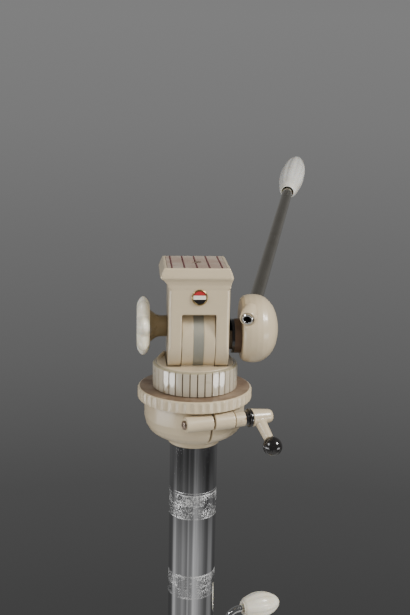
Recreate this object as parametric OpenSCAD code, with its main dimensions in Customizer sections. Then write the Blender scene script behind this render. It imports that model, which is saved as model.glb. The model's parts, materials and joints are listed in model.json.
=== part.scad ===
// Camera tripod: geared centre column, clamped pan seat and pan and tilt head.
// Millimetres, +Z up, feet on Z = 0, tilt axis along X, front of the head towards -Y.

/* [Column] */
// Height of the pan flange's top face above the floor, column raised
flange_z = 1040; // [1000:5:1080]
// Radius of the centre column
column_r = 20; // [19:0.5:21]
// Wall of the column tube
column_wall = 2; // [1.6:0.1:2.4]
// Length of the column tube
column_len = 470; // [450:5:500]
// Turn of the crank and the pan clamp against the head
base_turn = 17; // [10:1:24]

/* [Gear drive] */
// Tooth module of the rack and the pinion
gear_module = 1.5; // [1.4:0.1:1.6]
// Teeth of the pinion
pinion_teeth = 12; // [12:1:14]
// Teeth of the rack
rack_teeth = 64; // [60:1:66]
// Width of the rack
rack_w = 8; // [7:0.5:9]
// Depth that the rack is let into the tube
rack_sink = 0.8; // [0.5:0.1:1]
// Web of the rack under its teeth
rack_web = 2; // [1.8:0.1:2.4]
// Crank axis below the flange
crank_drop = 285; // [280:1:290]
// Distance from the crank axis to the grip's axis
crank_throw = 50; // [46:1:54]
// Radius of the crank's bent rod
crank_rod_r = 3.1; // [2.8:0.1:3.4]
// Place of the crank arm along the crank axis
crank_reach = 48.5; // [46:0.5:52]
// Length of the crank's grip
crank_grip_len = 38; // [34:1:42]
// Radius of the crank's grip
crank_grip_r = 12.2; // [11:0.1:13]

/* [Shoulder] */
// Radius of the shoulder's hub
hub_r = 31; // [30:0.5:34]
// Top of the shoulder above the crank axis
hub_rise = 23; // [22:1:26]
// Height of the shoulder's hub
hub_h = 109; // [106:1:110]
// Leg hinges below the crank axis
hinge_drop = 72; // [68:1:76]
// Distance of a leg hinge from the column axis
hinge_r = 48; // [46:1:52]
// Radius of a hinge lug
lug_r = 11; // [10:0.5:12]
// Thickness of a hinge lug
lug_w = 12; // [10:1:14]
// Radius of a leg's hinge bolt
hinge_bolt_r = 4; // [3.5:0.5:4.5]

/* [Legs] */
// Spread of each leg from the plumb line
leg_angle = 24; // [20:1:26]
// Radius of the upper leg tube
upper_r = 14; // [13.5:0.5:15]
// Length of the upper leg tube
upper_len = 370; // [350:5:390]
// Radius of the lower leg tube
lower_r = 11; // [10:0.5:11.5]
// Wall of the leg tubes
leg_wall = 1.5; // [1.2:0.1:1.8]
// Overlap of the lower tube inside the upper tube
leg_overlap = 300; // [285:5:320]
// Radius of the rubber foot
foot_r = 14; // [13:0.5:16]
// Depth of the flat worn on the foot
foot_flat = 0.6; // [0.4:0.1:0.8]
// Radius of a leg knob
leg_knob_r = 15; // [13:0.5:17]

/* [Pan seat] */
// Radius of the wide fluted flange
flange_r = 47; // [45:0.5:50]
// Thickness of the fluted flange
flange_h = 9.6; // [8:0.1:11]
// Radius of the clamp bowl
bowl_r = 41.4; // [40.5:0.1:42]
// Height of the clamp bowl down to its collar
bowl_h = 34.7; // [33:0.1:37]
// Height of the collar under the bowl
collar_h = 3; // [2:0.5:6]
// Radius of the collar under the bowl
collar_r = 21.6; // [21.2:0.1:24]
// Radius of the pan spindle's drum
spindle_r = 33.9; // [32:0.1:34]
// Width of the slit in the clamp bowl
slit_w = 1.6; // [1.2:0.1:2]
// Radius of the clamp bolt
clamp_bolt_r = 2.6; // [2.4:0.1:3]
// Distance of the clamp bolt's axis from the column axis
barrel_reach = 42; // [41:0.1:43]
// Clamp bolt's axis below the flange's top face
barrel_drop = 18.1; // [17.5:0.1:19]
// Radius of the left clamp barrel
barrel_r = 6.2; // [5.8:0.1:6.6]
// Left end of the clamp barrel from the middle plane
barrel_left = 23.2; // [22:0.1:24]
// Right end of the clamp barrel from the middle plane
barrel_right = 17.1; // [16:0.1:18]
// Thickness of the black ring beside the lever
washer_t = 2.4; // [2:0.1:3]
// Radius of the lever's hub at the black ring
lever_hub_r = 7.3; // [6.8:0.1:7.6]
// Lever's ball along the clamp bolt
lever_at = 42.6; // [42:0.1:43.4]
// Distance from the lever's axis to the centre of its ball
lever_throw = 27.7; // [25:0.1:31]
// Turn of the lever from hanging straight down
lever_lean = 51; // [40:1:60]
// Radius of the lever's ball
ball_r = 7.8; // [7:0.1:8.4]

/* [Tilt head] */
// Radius of the tension ring
ring_r = 34.9; // [34.4:0.1:35]
// Height of the tension ring
ring_h = 20.1; // [19:0.1:21]
// Flats round the tension ring
ring_flats = 36; // [30:2:40]
// Radius of the knuckle's round base
base_r = 31.6; // [31:0.1:32.5]
// Radius of the knuckle's drum
drum_r = 26; // [25:0.1:26.5]
// Half width of the knuckle's drum
drum_half = 13.3; // [12.5:0.1:13.6]
// Depth that the drum sinks into the base
drum_sink = 4.8; // [4.4:0.1:5.2]
// Radius of the tilt shaft
tilt_shaft_r = 4; // [3.6:0.1:4.4]
// Half width of the tilting casting's neck
yoke_half = 24.2; // [23.6:0.1:25]
// Middle of the neck and the drum, to the right of the column axis
neck_shift = 1; // [0.5:0.1:1.4]
// Middle of the platform, to the left of the column axis
top_shift = 1.3; // [0.5:0.1:1.6]
// Radius of the casting's upright edges
edge_r = 3.5; // [3:0.1:4.5]
// Top of the window over the tilt axis
window_rise = 23; // [22:0.1:24]
// Platform's top face over the tilt axis
platform_rise = 61; // [60:0.5:64]
// Half width of the platform at its rim
rim_half_x = 28.8; // [28:0.1:29.6]
// Half depth of the platform at its rim
rim_half_y = 29.5; // [28.5:0.1:31]
// Draw of the rim's sides from its widest line up to the top
rim_draw_x = 3.1; // [2:0.1:3.4]
// Height of the rim of the platform over its widest line
rim_h = 8; // [7:0.5:9]
// Height of the flare under the rim
flare_h = 9; // [8:0.5:10]
// Thickness of the platform's inlaid pad
pad_h = 1.5; // [1.2:0.1:2]
// Radius of the round medallion on the front
badge_r = 6.3; // [5.5:0.1:6.4]
// Distance between the grip strips
strip_pitch = 9.8; // [9:0.1:10.2]
// Width of a grip strip
strip_w = 1.1; // [0.9:0.1:1.5]
// Radius of the camera screw, three eighths of an inch thread
screw_r = 4.76; // [4.76:0.01:4.8]
// Radius of the camera screw's finger wheel
wheel_r = 17; // [15:0.5:18]
// Lock screw's axis over the tilt axis
lock_rise = 8.3; // [8.1:0.1:9]
// Radius of the tilt lock screw
lock_screw_r = 3; // [2.6:0.1:3.1]
// Radius of the tilt lock's nut
lock_nut_r = 9; // [8.4:0.1:9.4]
// Radius of the tilt lock's lobed knob
side_knob_r = 24.4; // [22:0.2:26]
// Lobes of the tilt lock's knob
side_knob_lobes = 7; // [6:1:9]
// Thickness of the tilt lock's knob
side_knob_t = 10.6; // [9:0.1:12]

/* [Handle] */
// Inner face of the handle's hub from the column axis
hub_face_x = 36.5; // [36:0.1:37]
// Radius of the handle's domed hub
dome_r = 27.9; // [27:0.1:28.6]
// Height of the handle's domed hub
dome_h = 30.6; // [29:0.1:33]
// Centre of the domed hub over the tilt axis
dome_rise = 6.6; // [6.2:0.1:7.4]
// Radius of the friction discs
disc_r = 14; // [13:0.1:15]
// Thickness of the black disc
black_disc_t = 2.2; // [1.8:0.1:2.6]
// Thickness of the brown fibre disc
fibre_disc_t = 5.4; // [5:0.1:5.6]
// Lean of the handle rod above level
handle_lift = 16; // [14:1:18]
// Turn of the handle rod away from the head
handle_turn = 14.9; // [14:0.1:16]
// Radius of the handle rod at the hub
rod_r = 5.65; // [5.4:0.05:5.8]
// Radius of the handle rod at the grip
rod_end_r = 5.2; // [4.8:0.05:5.3]
// Length of the handle rod from its seat in the hub to the grip's mouth
rod_len = 256; // [245:1:265]
// Length of the handle's grip
grip_len = 103; // [96:1:110]
// Radius of the handle's grip
grip_r = 13; // [12:0.1:13.6]
// Radius of the threaded hole in the front socket
socket_hole_r = 2.9; // [2.6:0.1:3.2]

/* [Fits] */
// Radial clearance of a shaft in its bore
run_gap = 0.05; // [0.03:0.01:0.08]
// Gap between pieces that move past each other
move_gap = 0.3; // [0.2:0.05:0.5]

/* [Hidden] */
$fn = 96;
leg_count = 3;
leg_azimuth = [60, 180, 300];
crank_z = -crank_drop;
hinge_z = crank_z - hinge_drop;
hub_top = crank_z + hub_rise;
hub_bottom = hub_top - hub_h;
column_bush_h = 12;
column_bush_r = column_r + 3;
rack_base_y = column_r - rack_sink;
rack_root_y = rack_base_y + rack_web;
rack_pitch_y = rack_root_y + 1.25 * gear_module;
rack_top_y = rack_pitch_y + gear_module;
pitch_r = gear_module * pinion_teeth / 2;
pinion_y = rack_pitch_y + pitch_r;
tooth_step = PI * gear_module;
backlash = 0.1;
tube_seat = 29;
tube_bottom = -tube_seat - column_len;
leg_drop = flange_z + hinge_z;
foot_rise = foot_r - foot_flat;
leg_len = (leg_drop - foot_rise) / cos(leg_angle);
foot_reach = hinge_r + (leg_drop - foot_rise) * tan(leg_angle);
axis_x = foot_reach * (1 - cos(60)) / 2;
fork_gap = 0.4;
fork_wall = 4;
socket_top = -lug_r - 5;
socket_h = 42;
upper_top = socket_top - 16;
upper_bottom = upper_top - upper_len;
clamp_h = 38;
lower_top = upper_bottom + leg_overlap;
lower_bottom = -leg_len + 2;
bowl_top = -flange_h - move_gap;
bowl_bottom = bowl_top - bowl_h;
spindle_bottom = -tube_seat + 1.5;
neck_r = 20;
base_bottom = 1;
base_top = ring_h + 0.7;
tilt_z = base_top + drum_r - drum_sink;
cheek_r = drum_r + 0.2;
cavity_r = drum_r + 1;
cavity_half = drum_half + move_gap;
trough_r = cheek_r + 0.8;
platform_z = tilt_z + platform_rise;
dome_z = tilt_z + dome_rise;
cheek_right = neck_shift + yoke_half;
cheek_left = neck_shift - yoke_half;
socket_at = [39, -27, tilt_z + 20.6];
socket_lift = 18;
socket_turn = 16.2;
bush_r = 4.6;
bush_len = 17;
bush_sink = 6.2;
rod_at = [46.1, -3, tilt_z + 23.4];
grip_tip_y = rod_at[1] + (rod_len + grip_len) * cos(handle_lift) * cos(handle_turn);
feet_y = foot_reach * sin(60) + foot_r;
axis_y = -max(0, grip_tip_y - feet_y) / 2;
tilt_range = 60;

// Frames

// Column axis with Z = 0 at the flange's top face
module at_head() translate([axis_x, axis_y, flange_z]) children();

// The same, turned with the crank and the pan clamp
module at_base() at_head() rotate(base_turn) children();

// Clamp bolt's axis along +Z, from the point nearest the column axis
module at_barrel() at_base() translate([0, -barrel_reach, -barrel_drop]) rotate([0, 90, 0]) children();

// Tilt axis along +Z, pointing to the right of the head
module at_tilt() at_head() translate([0, 0, tilt_z]) rotate([0, 90, 0]) children();

// Crank axis along +Z, from the column's side outwards
module at_crank() at_base() translate([0, pinion_y, crank_z]) rotate([0, 90, 0]) children();

// Front socket's axis along +Z, from its mouth into the hub
module at_socket() at_head() translate(socket_at) rotate([0, 90 - socket_lift, 90 - socket_turn]) children();

// Handle rod's axis along +Z, from its seat in the hub to the grip
module at_handle() at_head() translate(rod_at) rotate([0, 90 - handle_lift, 90 - handle_turn]) children();

// Middle of the platform, on the camera screw's axis
module at_top() at_head() translate([-top_shift, 0, 0]) children();

// Leg frame: hinge at the origin, leg along -Z, outward side towards +X
module at_leg(i) at_head() rotate(leg_azimuth[i]) translate([hinge_r, 0, hinge_z])
    rotate([0, -leg_angle, 0]) children();

// Shared shapes

module tube(outer, inner, h) difference() {
    cylinder(r = outer, h = h);
    translate([0, 0, -1]) cylinder(r = inner, h = h + 2);
}

// Upright block with round corners, centred in X and Y
module round_block(half_x, half_y, r, h) linear_extrude(h) {
    square([2 * half_x, 2 * (half_y - r)], center = true);
    square([2 * (half_x - r), 2 * half_y], center = true);
    for (sx = [-1, 1], sy = [-1, 1])
        translate([sx * (half_x - r), sy * (half_y - r)]) circle(r);
}

// Lobed hand knob along +Z, its edges drawn in by a lens
module star_knob(r, lobes, t, bore) {
    lobe_r = r * 0.3;
    intersection() {
        difference() {
            union() {
                cylinder(r = r - lobe_r * 0.75, h = t);
                for (i = [0 : lobes - 1])
                    rotate(i * 360 / lobes) translate([r - lobe_r, 0, 0]) cylinder(r = lobe_r, h = t);
            }
            translate([0, 0, -1]) cylinder(r = bore, h = t + 2);
        }
        rotate_extrude() polygon([
            [0, 0], [r - t * 0.32, 0], [r - t * 0.1, t * 0.16], [r, t * 0.38],
            [r, t * 0.62], [r - t * 0.1, t * 0.84], [r - t * 0.32, t], [0, t]
        ]);
    }
}

// Bud-shaped grip along +Z with its mouth at the origin; shares of length and radius
module bud_grip(len, r, mouth_r, bore, bore_len) difference() {
    rotate_extrude() polygon([
        [0, 0], [mouth_r, 0], [mouth_r + (r - mouth_r) * 0.25, len * 0.06],
        [r * 0.84, len * 0.2], [r * 0.96, len * 0.33], [r, len * 0.45],
        [r * 0.97, len * 0.57], [r * 0.87, len * 0.7], [r * 0.7, len * 0.82],
        [r * 0.5, len * 0.91], [r * 0.27, len * 0.97], [0, len]
    ]);
    translate([0, 0, -1]) cylinder(r = bore, h = bore_len + 1);
}

// Involute half angle of the pinion tooth at a radius
function involute(a) = tan(a) * 180 / PI - a;
function flank_angle(r, base) = 90 / pinion_teeth - backlash * 90 / PI / pitch_r
    + involute(20) - (r > base ? involute(acos(base / r)) : 0);
pinion_radii = [pitch_r - 1.2 * gear_module, pitch_r * cos(20), pitch_r - 0.3, pitch_r + 0.5 * gear_module,
    pitch_r + 0.9 * gear_module];
function tooth_side(i, side) = [
    for (k = [0 : 4]) let (j = side < 0 ? k : 4 - k, r = pinion_radii[j],
        a = i * 360 / pinion_teeth + side * flank_angle(r, pitch_r * cos(20))) [r * cos(a), r * sin(a)]
];
pinion_outline = [for (i = [0 : pinion_teeth - 1]) each concat(tooth_side(i, -1), tooth_side(i, 1))];

// Rack tooth outline in Y and Z, the middle of tooth i at half a step past the crank axis
rack_half_tip = tooth_step / 4 - backlash / 2 - 0.9 * gear_module * tan(20);
rack_half_root = tooth_step / 4 - backlash / 2 + 1.25 * gear_module * tan(20);
rack_first = -round(rack_teeth * 0.36);
function rack_tooth(i) = let (z = crank_z + (rack_first + i + 0.5) * tooth_step) [
    [rack_root_y, z - rack_half_root], [rack_pitch_y + 0.9 * gear_module, z - rack_half_tip],
    [rack_pitch_y + 0.9 * gear_module, z + rack_half_tip], [rack_root_y, z + rack_half_root]
];
rack_z0 = crank_z + rack_first * tooth_step;
rack_z1 = rack_z0 + rack_teeth * tooth_step;

// Ring with flats and narrow grooves between them
function fluted(r, flats, depth, land) = [
    for (i = [0 : flats - 1]) let (a = i * 360 / flats, h = 180 / flats)
        each [[(r - depth) * cos(a), (r - depth) * sin(a)],
              [r * cos(a + h * land), r * sin(a + h * land)],
              [r * cos(a + h * (2 - land)), r * sin(a + h * (2 - land))]]
];

// Shoulder and its fittings

module shoulder_casting() color("tan") {
    difference() {
        union() {
            at_head() translate([0, 0, hub_bottom]) cylinder(r = hub_r, h = hub_h);
            at_head() translate([0, 0, hub_top - 10]) cylinder(r = hub_r + 2.5, h = 10);
            for (i = [0 : leg_count - 1]) at_head() rotate(leg_azimuth[i]) lug();
            at_base() translate([-17, 0, crank_z - 20]) cube([42, housing_back, 40]);
            at_base() translate([0, 0, crank_z]) rotate([0, -90, 0]) cylinder(r = 11, h = lock_boss_end);
        }
        at_head() translate([0, 0, hub_bottom - 1]) cylinder(r = column_bush_r, h = hub_h + 2);
        at_base() rack_slot(hub_bottom - 1, hub_top + 1);
        at_crank() translate([0, 0, -7]) cylinder(r = pitch_r + gear_module + 1.5, h = 14);
        at_crank() translate([0, 0, -18]) cylinder(r = 4 + run_gap, h = 50);
        at_base() translate([-7, pinion_y, crank_z - 11]) cube([14, 20, 22]);
        at_base() translate([0, 0, crank_z]) rotate([0, -90, 0]) cylinder(r = 4 + run_gap, h = 60);
        cover_holes(1.6);
    }
}
housing_back = pinion_y + 15;
lock_boss_end = hub_r + 9;

module rack_slot(z0, z1) translate([-rack_w / 2 - move_gap, column_r - 3, z0])
    cube([rack_w + 2 * move_gap, rack_top_y + 2 * move_gap - column_r + 3, z1 - z0]);

module lug() difference() {
    translate([0, -lug_w / 2, hinge_z]) {
        translate([hub_r - 5, 0, -lug_r]) cube([hinge_r - hub_r + 5, lug_w, 2 * lug_r]);
        translate([hinge_r, 0, 0]) rotate([-90, 0, 0]) cylinder(r = lug_r, h = lug_w);
    }
    translate([hinge_r, -lug_w, hinge_z]) rotate([-90, 0, 0]) cylinder(r = hinge_bolt_r, h = 2 * lug_w);
}

module cover_holes(r) at_base() for (sx = [-1, 1], sz = [-1, 1])
    translate([4 + sx * 16, housing_back - 8, crank_z + sz * 15]) rotate([-90, 0, 0]) cylinder(r = r, h = 12);

module column_bushes() color("ivory") at_base() difference() {
    union() for (z = [hub_bottom, hub_top - column_bush_h])
        translate([0, 0, z]) tube(column_bush_r, column_r + run_gap, column_bush_h);
    rack_slot(hub_bottom - 1, hub_top + 1);
}

module gear_cover() color("tan") difference() {
    at_base() translate([4, housing_back + 3, crank_z]) rotate([90, 0, 0]) round_block(20, 19, 4, 3);
    cover_holes(1.6);
}

module cover_screws() color("silver") at_base() for (sx = [-1, 1], sz = [-1, 1])
    translate([4 + sx * 16, housing_back - 7, crank_z + sz * 15]) rotate([-90, 0, 0]) {
        cylinder(r = 1.6, h = 10.5);
        translate([0, 0, 10]) cylinder(r = 3, h = 1.8);
    }

module leg_hinge_bolts() color("silver") for (i = [0 : leg_count - 1])
    at_head() rotate(leg_azimuth[i]) translate([hinge_r, 0, hinge_z]) rotate([90, 0, 0]) {
        half = lug_w / 2 + fork_gap + fork_wall;
        translate([0, 0, -half]) cylinder(r = hinge_bolt_r, h = 2 * half);
        translate([0, 0, half + 0.2]) cylinder(r = hinge_bolt_r + 3, h = 4);
        translate([0, 0, half - 1]) cylinder(r = hinge_bolt_r - 0.5, h = 2);
        mirror([0, 0, 1]) translate([0, 0, half + 0.2]) cylinder(r = hinge_bolt_r + 3, h = 4, $fn = 6);
        mirror([0, 0, 1]) translate([0, 0, half - 1]) cylinder(r = hinge_bolt_r - 0.5, h = 2);
    }

// Column

module column_tube() color("silver") at_base() difference() {
    translate([0, 0, tube_bottom]) tube(column_r, column_r - column_wall, column_len);
    translate([-rack_w / 2, rack_base_y, rack_z0]) cube([rack_w, 5, rack_z1 - rack_z0]);
}

module gear_rack() color("silver") at_base() translate([-rack_w / 2, 0, 0]) rotate([90, 0, 90])
    linear_extrude(rack_w) polygon(concat(
        [[rack_base_y, rack_z1], [rack_base_y, rack_z0], [rack_root_y, rack_z0]],
        [for (i = [0 : rack_teeth - 1]) each rack_tooth(i)],
        [[rack_root_y, rack_z1]]));

module column_end_cap() color("black") at_base() difference() {
    union() {
        translate([0, 0, tube_bottom - 5]) cylinder(r = column_r, h = 5);
        translate([0, 0, tube_bottom - 1]) cylinder(r = column_r - column_wall, h = 17);
    }
    translate([0, 0, tube_bottom - 6]) cylinder(r = 4, h = 18);
}

// Pan clamp

module bowl_clamp() color("tan") difference() {
    union() {
        at_base() rotate_extrude() polygon([
            [0, bowl_top], [bowl_r, bowl_top], [bowl_r, bowl_top - bowl_h * 0.42],
            [bowl_r - 1.4, bowl_top - bowl_h * 0.6], [bowl_r - 3.9, bowl_top - bowl_h * 0.73],
            [bowl_r - 7.3, bowl_top - bowl_h * 0.82], [bowl_r - 13.1, bowl_top - bowl_h * 0.91],
            [collar_r + 0.6, bowl_bottom], [collar_r, bowl_bottom], [collar_r, bowl_bottom - collar_h],
            [collar_r - 0.6, bowl_bottom - collar_h - 0.4], [0, bowl_bottom - collar_h - 0.4]
        ]);
        at_barrel() {
            translate([0, 0, -barrel_left]) cylinder(r = barrel_r, h = barrel_left - 0.2);
            translate([0, 0, -0.3]) cylinder(r = barrel_r + 0.5, h = barrel_right + 0.3);
        }
    }
    at_base() translate([0, 0, spindle_bottom - 1.5]) cylinder(r = spindle_r + run_gap, h = 40);
    at_base() translate([0, 0, bowl_bottom - 10]) cylinder(r = column_r + 0.02, h = 60);
    at_barrel() translate([-20, -10, -0.25 - slit_w / 2]) cube([42, 35, slit_w]);
    at_barrel() translate([0, 0, -barrel_left - 2]) cylinder(r = clamp_bolt_r + 0.02, h = 60);
    at_barrel() translate([0, 0, barrel_right - 0.1]) cylinder(r = sleeve_r + run_gap, h = 15);
}
sleeve_r = 6;

module clamp_bolt() color("silver") at_barrel() {
    translate([0, 0, -barrel_left - 0.3]) cylinder(r = clamp_bolt_r, h = barrel_left + 0.3 + lever_at + 1.4);
    translate([0, 0, -barrel_left - 1.5]) cylinder(r = 3.6, h = 1.4);
    translate([0, 0, -barrel_left - 2.3]) cylinder(r1 = 2.8, r2 = 3.6, h = 0.8);
}

module clamp_sleeve() color("tan") at_barrel() difference() {
    union() {
        translate([0, 0, barrel_right + 1.1]) cylinder(r = sleeve_r, h = washer_at - barrel_right - 4.9);
        translate([0, 0, barrel_right + 0.1]) cylinder(r = sleeve_r - 1, h = 1.2);
    }
    translate([0, 0, barrel_right - 1]) cylinder(r = clamp_bolt_r + 0.02, h = 12);
}
washer_at = 30.2;

module lever_washer() color("black") at_barrel() difference() {
    union() {
        translate([0, 0, washer_at - 3.6]) cylinder(r = 5.6, h = 3.8);
        translate([0, 0, washer_at]) cylinder(r = lever_hub_r + 0.3, h = washer_t);
    }
    translate([0, 0, washer_at - 5]) cylinder(r = clamp_bolt_r + run_gap, h = 10);
}

module clamp_lever() color("tan") at_barrel() {
    difference() {
        union() {
            translate([0, 0, lever_face]) cylinder(r1 = lever_hub_r, r2 = 5.6, h = 15);
            translate([0, 0, lever_face + 15]) rotate_extrude()
                polygon([[0, 0], [5.6, 0], [5.2, 1.6], [4.2, 2.9], [2.6, 3.7], [0, 4]]);
            translate([0, 0, lever_at - arm_offset]) rotate([0, 0, -lever_lean]) rotate([0, 90 - arm_skew, 0])
                cylinder(r1 = 4.9, r2 = 3.8, h = norm([lever_throw, arm_offset]) - ball_r + 1.6);
        }
        translate([0, 0, lever_face - 1]) cylinder(r = clamp_bolt_r + run_gap, h = lever_at - lever_face + 3);
        at_ball() sphere(r = ball_r);
    }
}
lever_face = washer_at + washer_t + 0.2;
arm_offset = 3.6;
arm_skew = atan(arm_offset / lever_throw);

// Centre of the lever's ball, hanging down and towards the front
module at_ball() translate([0, 0, lever_at]) rotate([0, 0, -lever_lean]) translate([lever_throw, 0, 0]) children();

module lever_ball() color("black") at_barrel() at_ball() sphere(r = ball_r);

// Crank and column lock

module pinion_shaft() color("silver") at_crank() {
    translate([0, 0, -16]) cylinder(r = 4, h = 16 + crank_reach + 4);
    translate([0, 0, -4.5]) rotate(180) linear_extrude(9) polygon(pinion_outline);
}

module crank_arm() color("silver") at_crank() {
    bend = 12;
    difference() {
        union() {
            translate([0, 0, crank_reach - 8]) cylinder(r = 8.5, h = 14);
            translate([0, 0, crank_reach]) rotate([0, -90, 0]) cylinder(r = crank_rod_r, h = crank_throw - bend);
            translate([-(crank_throw - bend), 0, crank_reach + bend]) rotate([90, 0, 0]) rotate(180)
                rotate_extrude(angle = 90) translate([bend, 0]) circle(crank_rod_r);
            translate([-crank_throw, 0, crank_reach + bend]) cylinder(r = crank_rod_r, h = crank_grip_len - 2);
        }
        translate([0, 0, crank_reach - 10]) cylinder(r = 4, h = 14);
    }
}

module crank_grip() color("ivory") at_crank() translate([-crank_throw, 0, crank_reach + 15.5])
    bud_grip(crank_grip_len, crank_grip_r, 7, crank_rod_r + run_gap, crank_grip_len - 4);

module column_lock_screw() color("silver") at_base() translate([0, 0, crank_z]) rotate([0, -90, 0])
    translate([0, 0, column_r + move_gap]) cylinder(r = 4, h = lock_boss_end - column_r + 11);

module column_lock_knob() color("ivory") at_base() translate([0, 0, crank_z]) rotate([0, -90, 0])
    translate([0, 0, lock_boss_end + move_gap]) {
        tube(9, 4, 4);
        translate([0, 0, 4]) star_knob(side_knob_r - 4, side_knob_lobes, side_knob_t, 4);
    }

// Pan seat

module pan_spindle() color("silver") at_head() {
    translate([0, 0, spindle_bottom]) cylinder(r = spindle_r, h = -flange_h - spindle_bottom);
    translate([0, 0, -flange_h - 1]) cylinder(r = neck_r, h = flange_h + 1 + base_bottom + 5);
}

module flange_ring() color("tan") at_head() difference() {
    intersection() {
        translate([0, 0, -flange_h]) linear_extrude(flange_h) polygon(fluted(flange_r, 48, 0.8, 0.35));
        translate([0, 0, -flange_h]) rotate_extrude() polygon([
            [0, 0], [flange_r - 0.6, 0], [flange_r + 0.1, 0.9], [flange_r + 0.1, flange_h - 1.1],
            [flange_r - 1.7, flange_h], [0, flange_h]
        ]);
    }
    translate([0, 0, -flange_h - 1]) cylinder(r = neck_r + 0.02, h = flange_h + 2);
}

module tension_ring() color("tan") at_head() difference() {
    intersection() {
        translate([0, 0, move_gap]) linear_extrude(ring_h) polygon(fluted(ring_r, ring_flats, 1.05, 0.16));
        translate([0, 0, move_gap]) rotate_extrude() polygon([
            [0, 0], [ring_r - 0.3, 0], [ring_r + 0.1, 0.5], [ring_r + 0.1, ring_h - 1.2],
            [ring_r - 0.9, ring_h - 0.3], [ring_r - 1.8, ring_h], [0, ring_h]
        ]);
    }
    translate([0, 0, -1]) cylinder(r = base_r + move_gap, h = ring_h + 3);
}

module tilt_knuckle() color("tan") difference() {
    union() {
        at_head() translate([0, 0, base_bottom]) cylinder(r = base_r, h = base_top - base_bottom);
        back_lip();
        at_tilt() translate([0, 0, neck_shift - drum_half]) cylinder(r = drum_r, h = 2 * drum_half);
    }
    for (z = [cheek_left - cheek_gap, neck_shift + drum_half]) at_tilt() translate([0, 0, z])
        cylinder(r = trough_r, h = yoke_half - drum_half + cheek_gap);
    at_head() translate([0, 0, base_bottom - 1]) cylinder(r = neck_r + 0.02, h = 6);
    at_tilt() translate([0, 0, -30]) cylinder(r = tilt_shaft_r + run_gap, h = 60);
    at_tilt() translate([0, 0, neck_shift - drum_half - 1]) lock_slot(2 * drum_half + 2);
    band_groove(0);
}
cheek_gap = 0.5;
lip_cut = 45;

// Lip that rises round the back of the base, cut away where the neck comes down on it
module back_lip() difference() {
    at_head() intersection() {
        translate([0, 0, base_top - 2]) tube(base_r, base_r - 2.6, 7);
        rotate([0, 90, 0]) translate([0, 0, -40]) linear_extrude(80)
            polygon([[-base_top + 2, -4], [-base_top + 2, 40], [-base_top - 5.6, 40], [-base_top - 5.2, 28],
                     [-base_top, 2]]);
    }
    at_tilt() rotate(-tilt_range) translate([-lip_cut, 0, cheek_left - 2 * cheek_gap])
        cube([lip_cut, cheek_r + 0.6, 2 * (yoke_half + 2 * cheek_gap)]);
}

// Curved slot that the lock screw runs in, along the tilt axis
module lock_slot(h) {
    half = lock_screw_r + move_gap;
    span = tilt_range + 4;
    rotate(180 - span) rotate_extrude(angle = 2 * span) translate([lock_rise - half, 0]) square([2 * half, h]);
    for (a = [-span, span]) rotate(180 + a) translate([lock_rise, 0, 0]) cylinder(r = half, h = h);
}

// Shallow groove round the drum, open above the base
module band_groove(inset) intersection() {
    at_tilt() translate([0, 0, neck_shift - 4.1 + inset]) tube(drum_r + 2, drum_r - 0.8, 8.2 - 2 * inset);
    at_head() translate([-60, -60, base_top + 0.6 + inset]) cube([120, 120, 60]);
}

module brake_band() color("slategray") intersection() {
    band_groove(0.02);
    at_tilt() translate([0, 0, neck_shift - 6]) cylinder(r = drum_r, h = 12);
}

// Tilting casting

module yoke_casting() color("tan") difference() {
    union() {
        at_head() intersection() {
            along_x() {
                translate([0, tilt_z]) circle(cheek_r);
                translate([-cheek_r, tilt_z]) square([2 * cheek_r, flare_bottom + 2 - tilt_z]);
            }
            translate([neck_shift, 0, tilt_z - 40]) round_block(yoke_half, cheek_r + 0.2, edge_r, 110);
        }
        at_head() intersection() {
            along_x() polygon(rim_outline(cheek_r + 0.2, 0, rim_half_y, 0, rim_half_y - rim_draw_y));
            rotate(-90) along_x() polygon(rim_outline(yoke_half + 0.2, neck_shift, rim_half_x, -top_shift,
                rim_half_x - rim_draw_x));
            translate([-top_shift, 0, flare_bottom - 5]) round_block(rim_half_x + 0.2, rim_half_y + 0.2, edge_r, 60);
        }
    }
    at_tilt() translate([0, 0, neck_shift - cavity_half]) cylinder(r = cavity_r, h = 2 * cavity_half);
    at_head() translate([neck_shift - cavity_half, -40, tilt_z - 40])
        cube([2 * cavity_half, 80, 40 + window_rise]);
    at_tilt() translate([0, 0, cheek_left + 2]) cylinder(r = tilt_shaft_r, h = 2 * yoke_half);
    at_tilt() translate([-lock_rise, 0, -40]) cylinder(r = lock_screw_r + run_gap, h = 80);
    at_top() translate([0, 0, wheel_z - move_gap]) cylinder(r = wheel_r + 1, h = wheel_h + 2 * move_gap);
    at_top() translate([0.2 - wheel_r, 0, wheel_z - move_gap])
        cube([2 * wheel_r - 0.4, 40, wheel_h + 2 * move_gap]);
    at_top() translate([0, 0, wheel_z]) cylinder(r = screw_r + move_gap, h = 60);
    at_top() translate([0, 0, platform_z - pad_h]) round_block(pad_half_x, pad_half_y, 1.5, 10);
}
rim_bottom = platform_z - rim_h;
flare_bottom = rim_bottom - flare_h;
rim_draw_y = 1.1;
wheel_h = 7;
wheel_z = tilt_z + cavity_r + 5;
pad_half_x = rim_half_x - rim_draw_x - 2.5;
pad_half_y = rim_half_y - 2.6;

// Shape in Y and Z carried through along X
module along_x() translate([-40, 0, 0]) rotate([90, 0, 90]) linear_extrude(80) children();

// Flare and rim of the platform, from the neck's half width to the rim's, each about its own middle
function rim_outline(neck_half, neck_mid, rim_half, rim_mid, top_half) = concat(
    rim_side(neck_half, neck_mid, rim_half, rim_mid, top_half, 1),
    [for (i = [4 : -1 : 0]) rim_side(neck_half, neck_mid, rim_half, rim_mid, top_half, -1)[i]]
);

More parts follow.
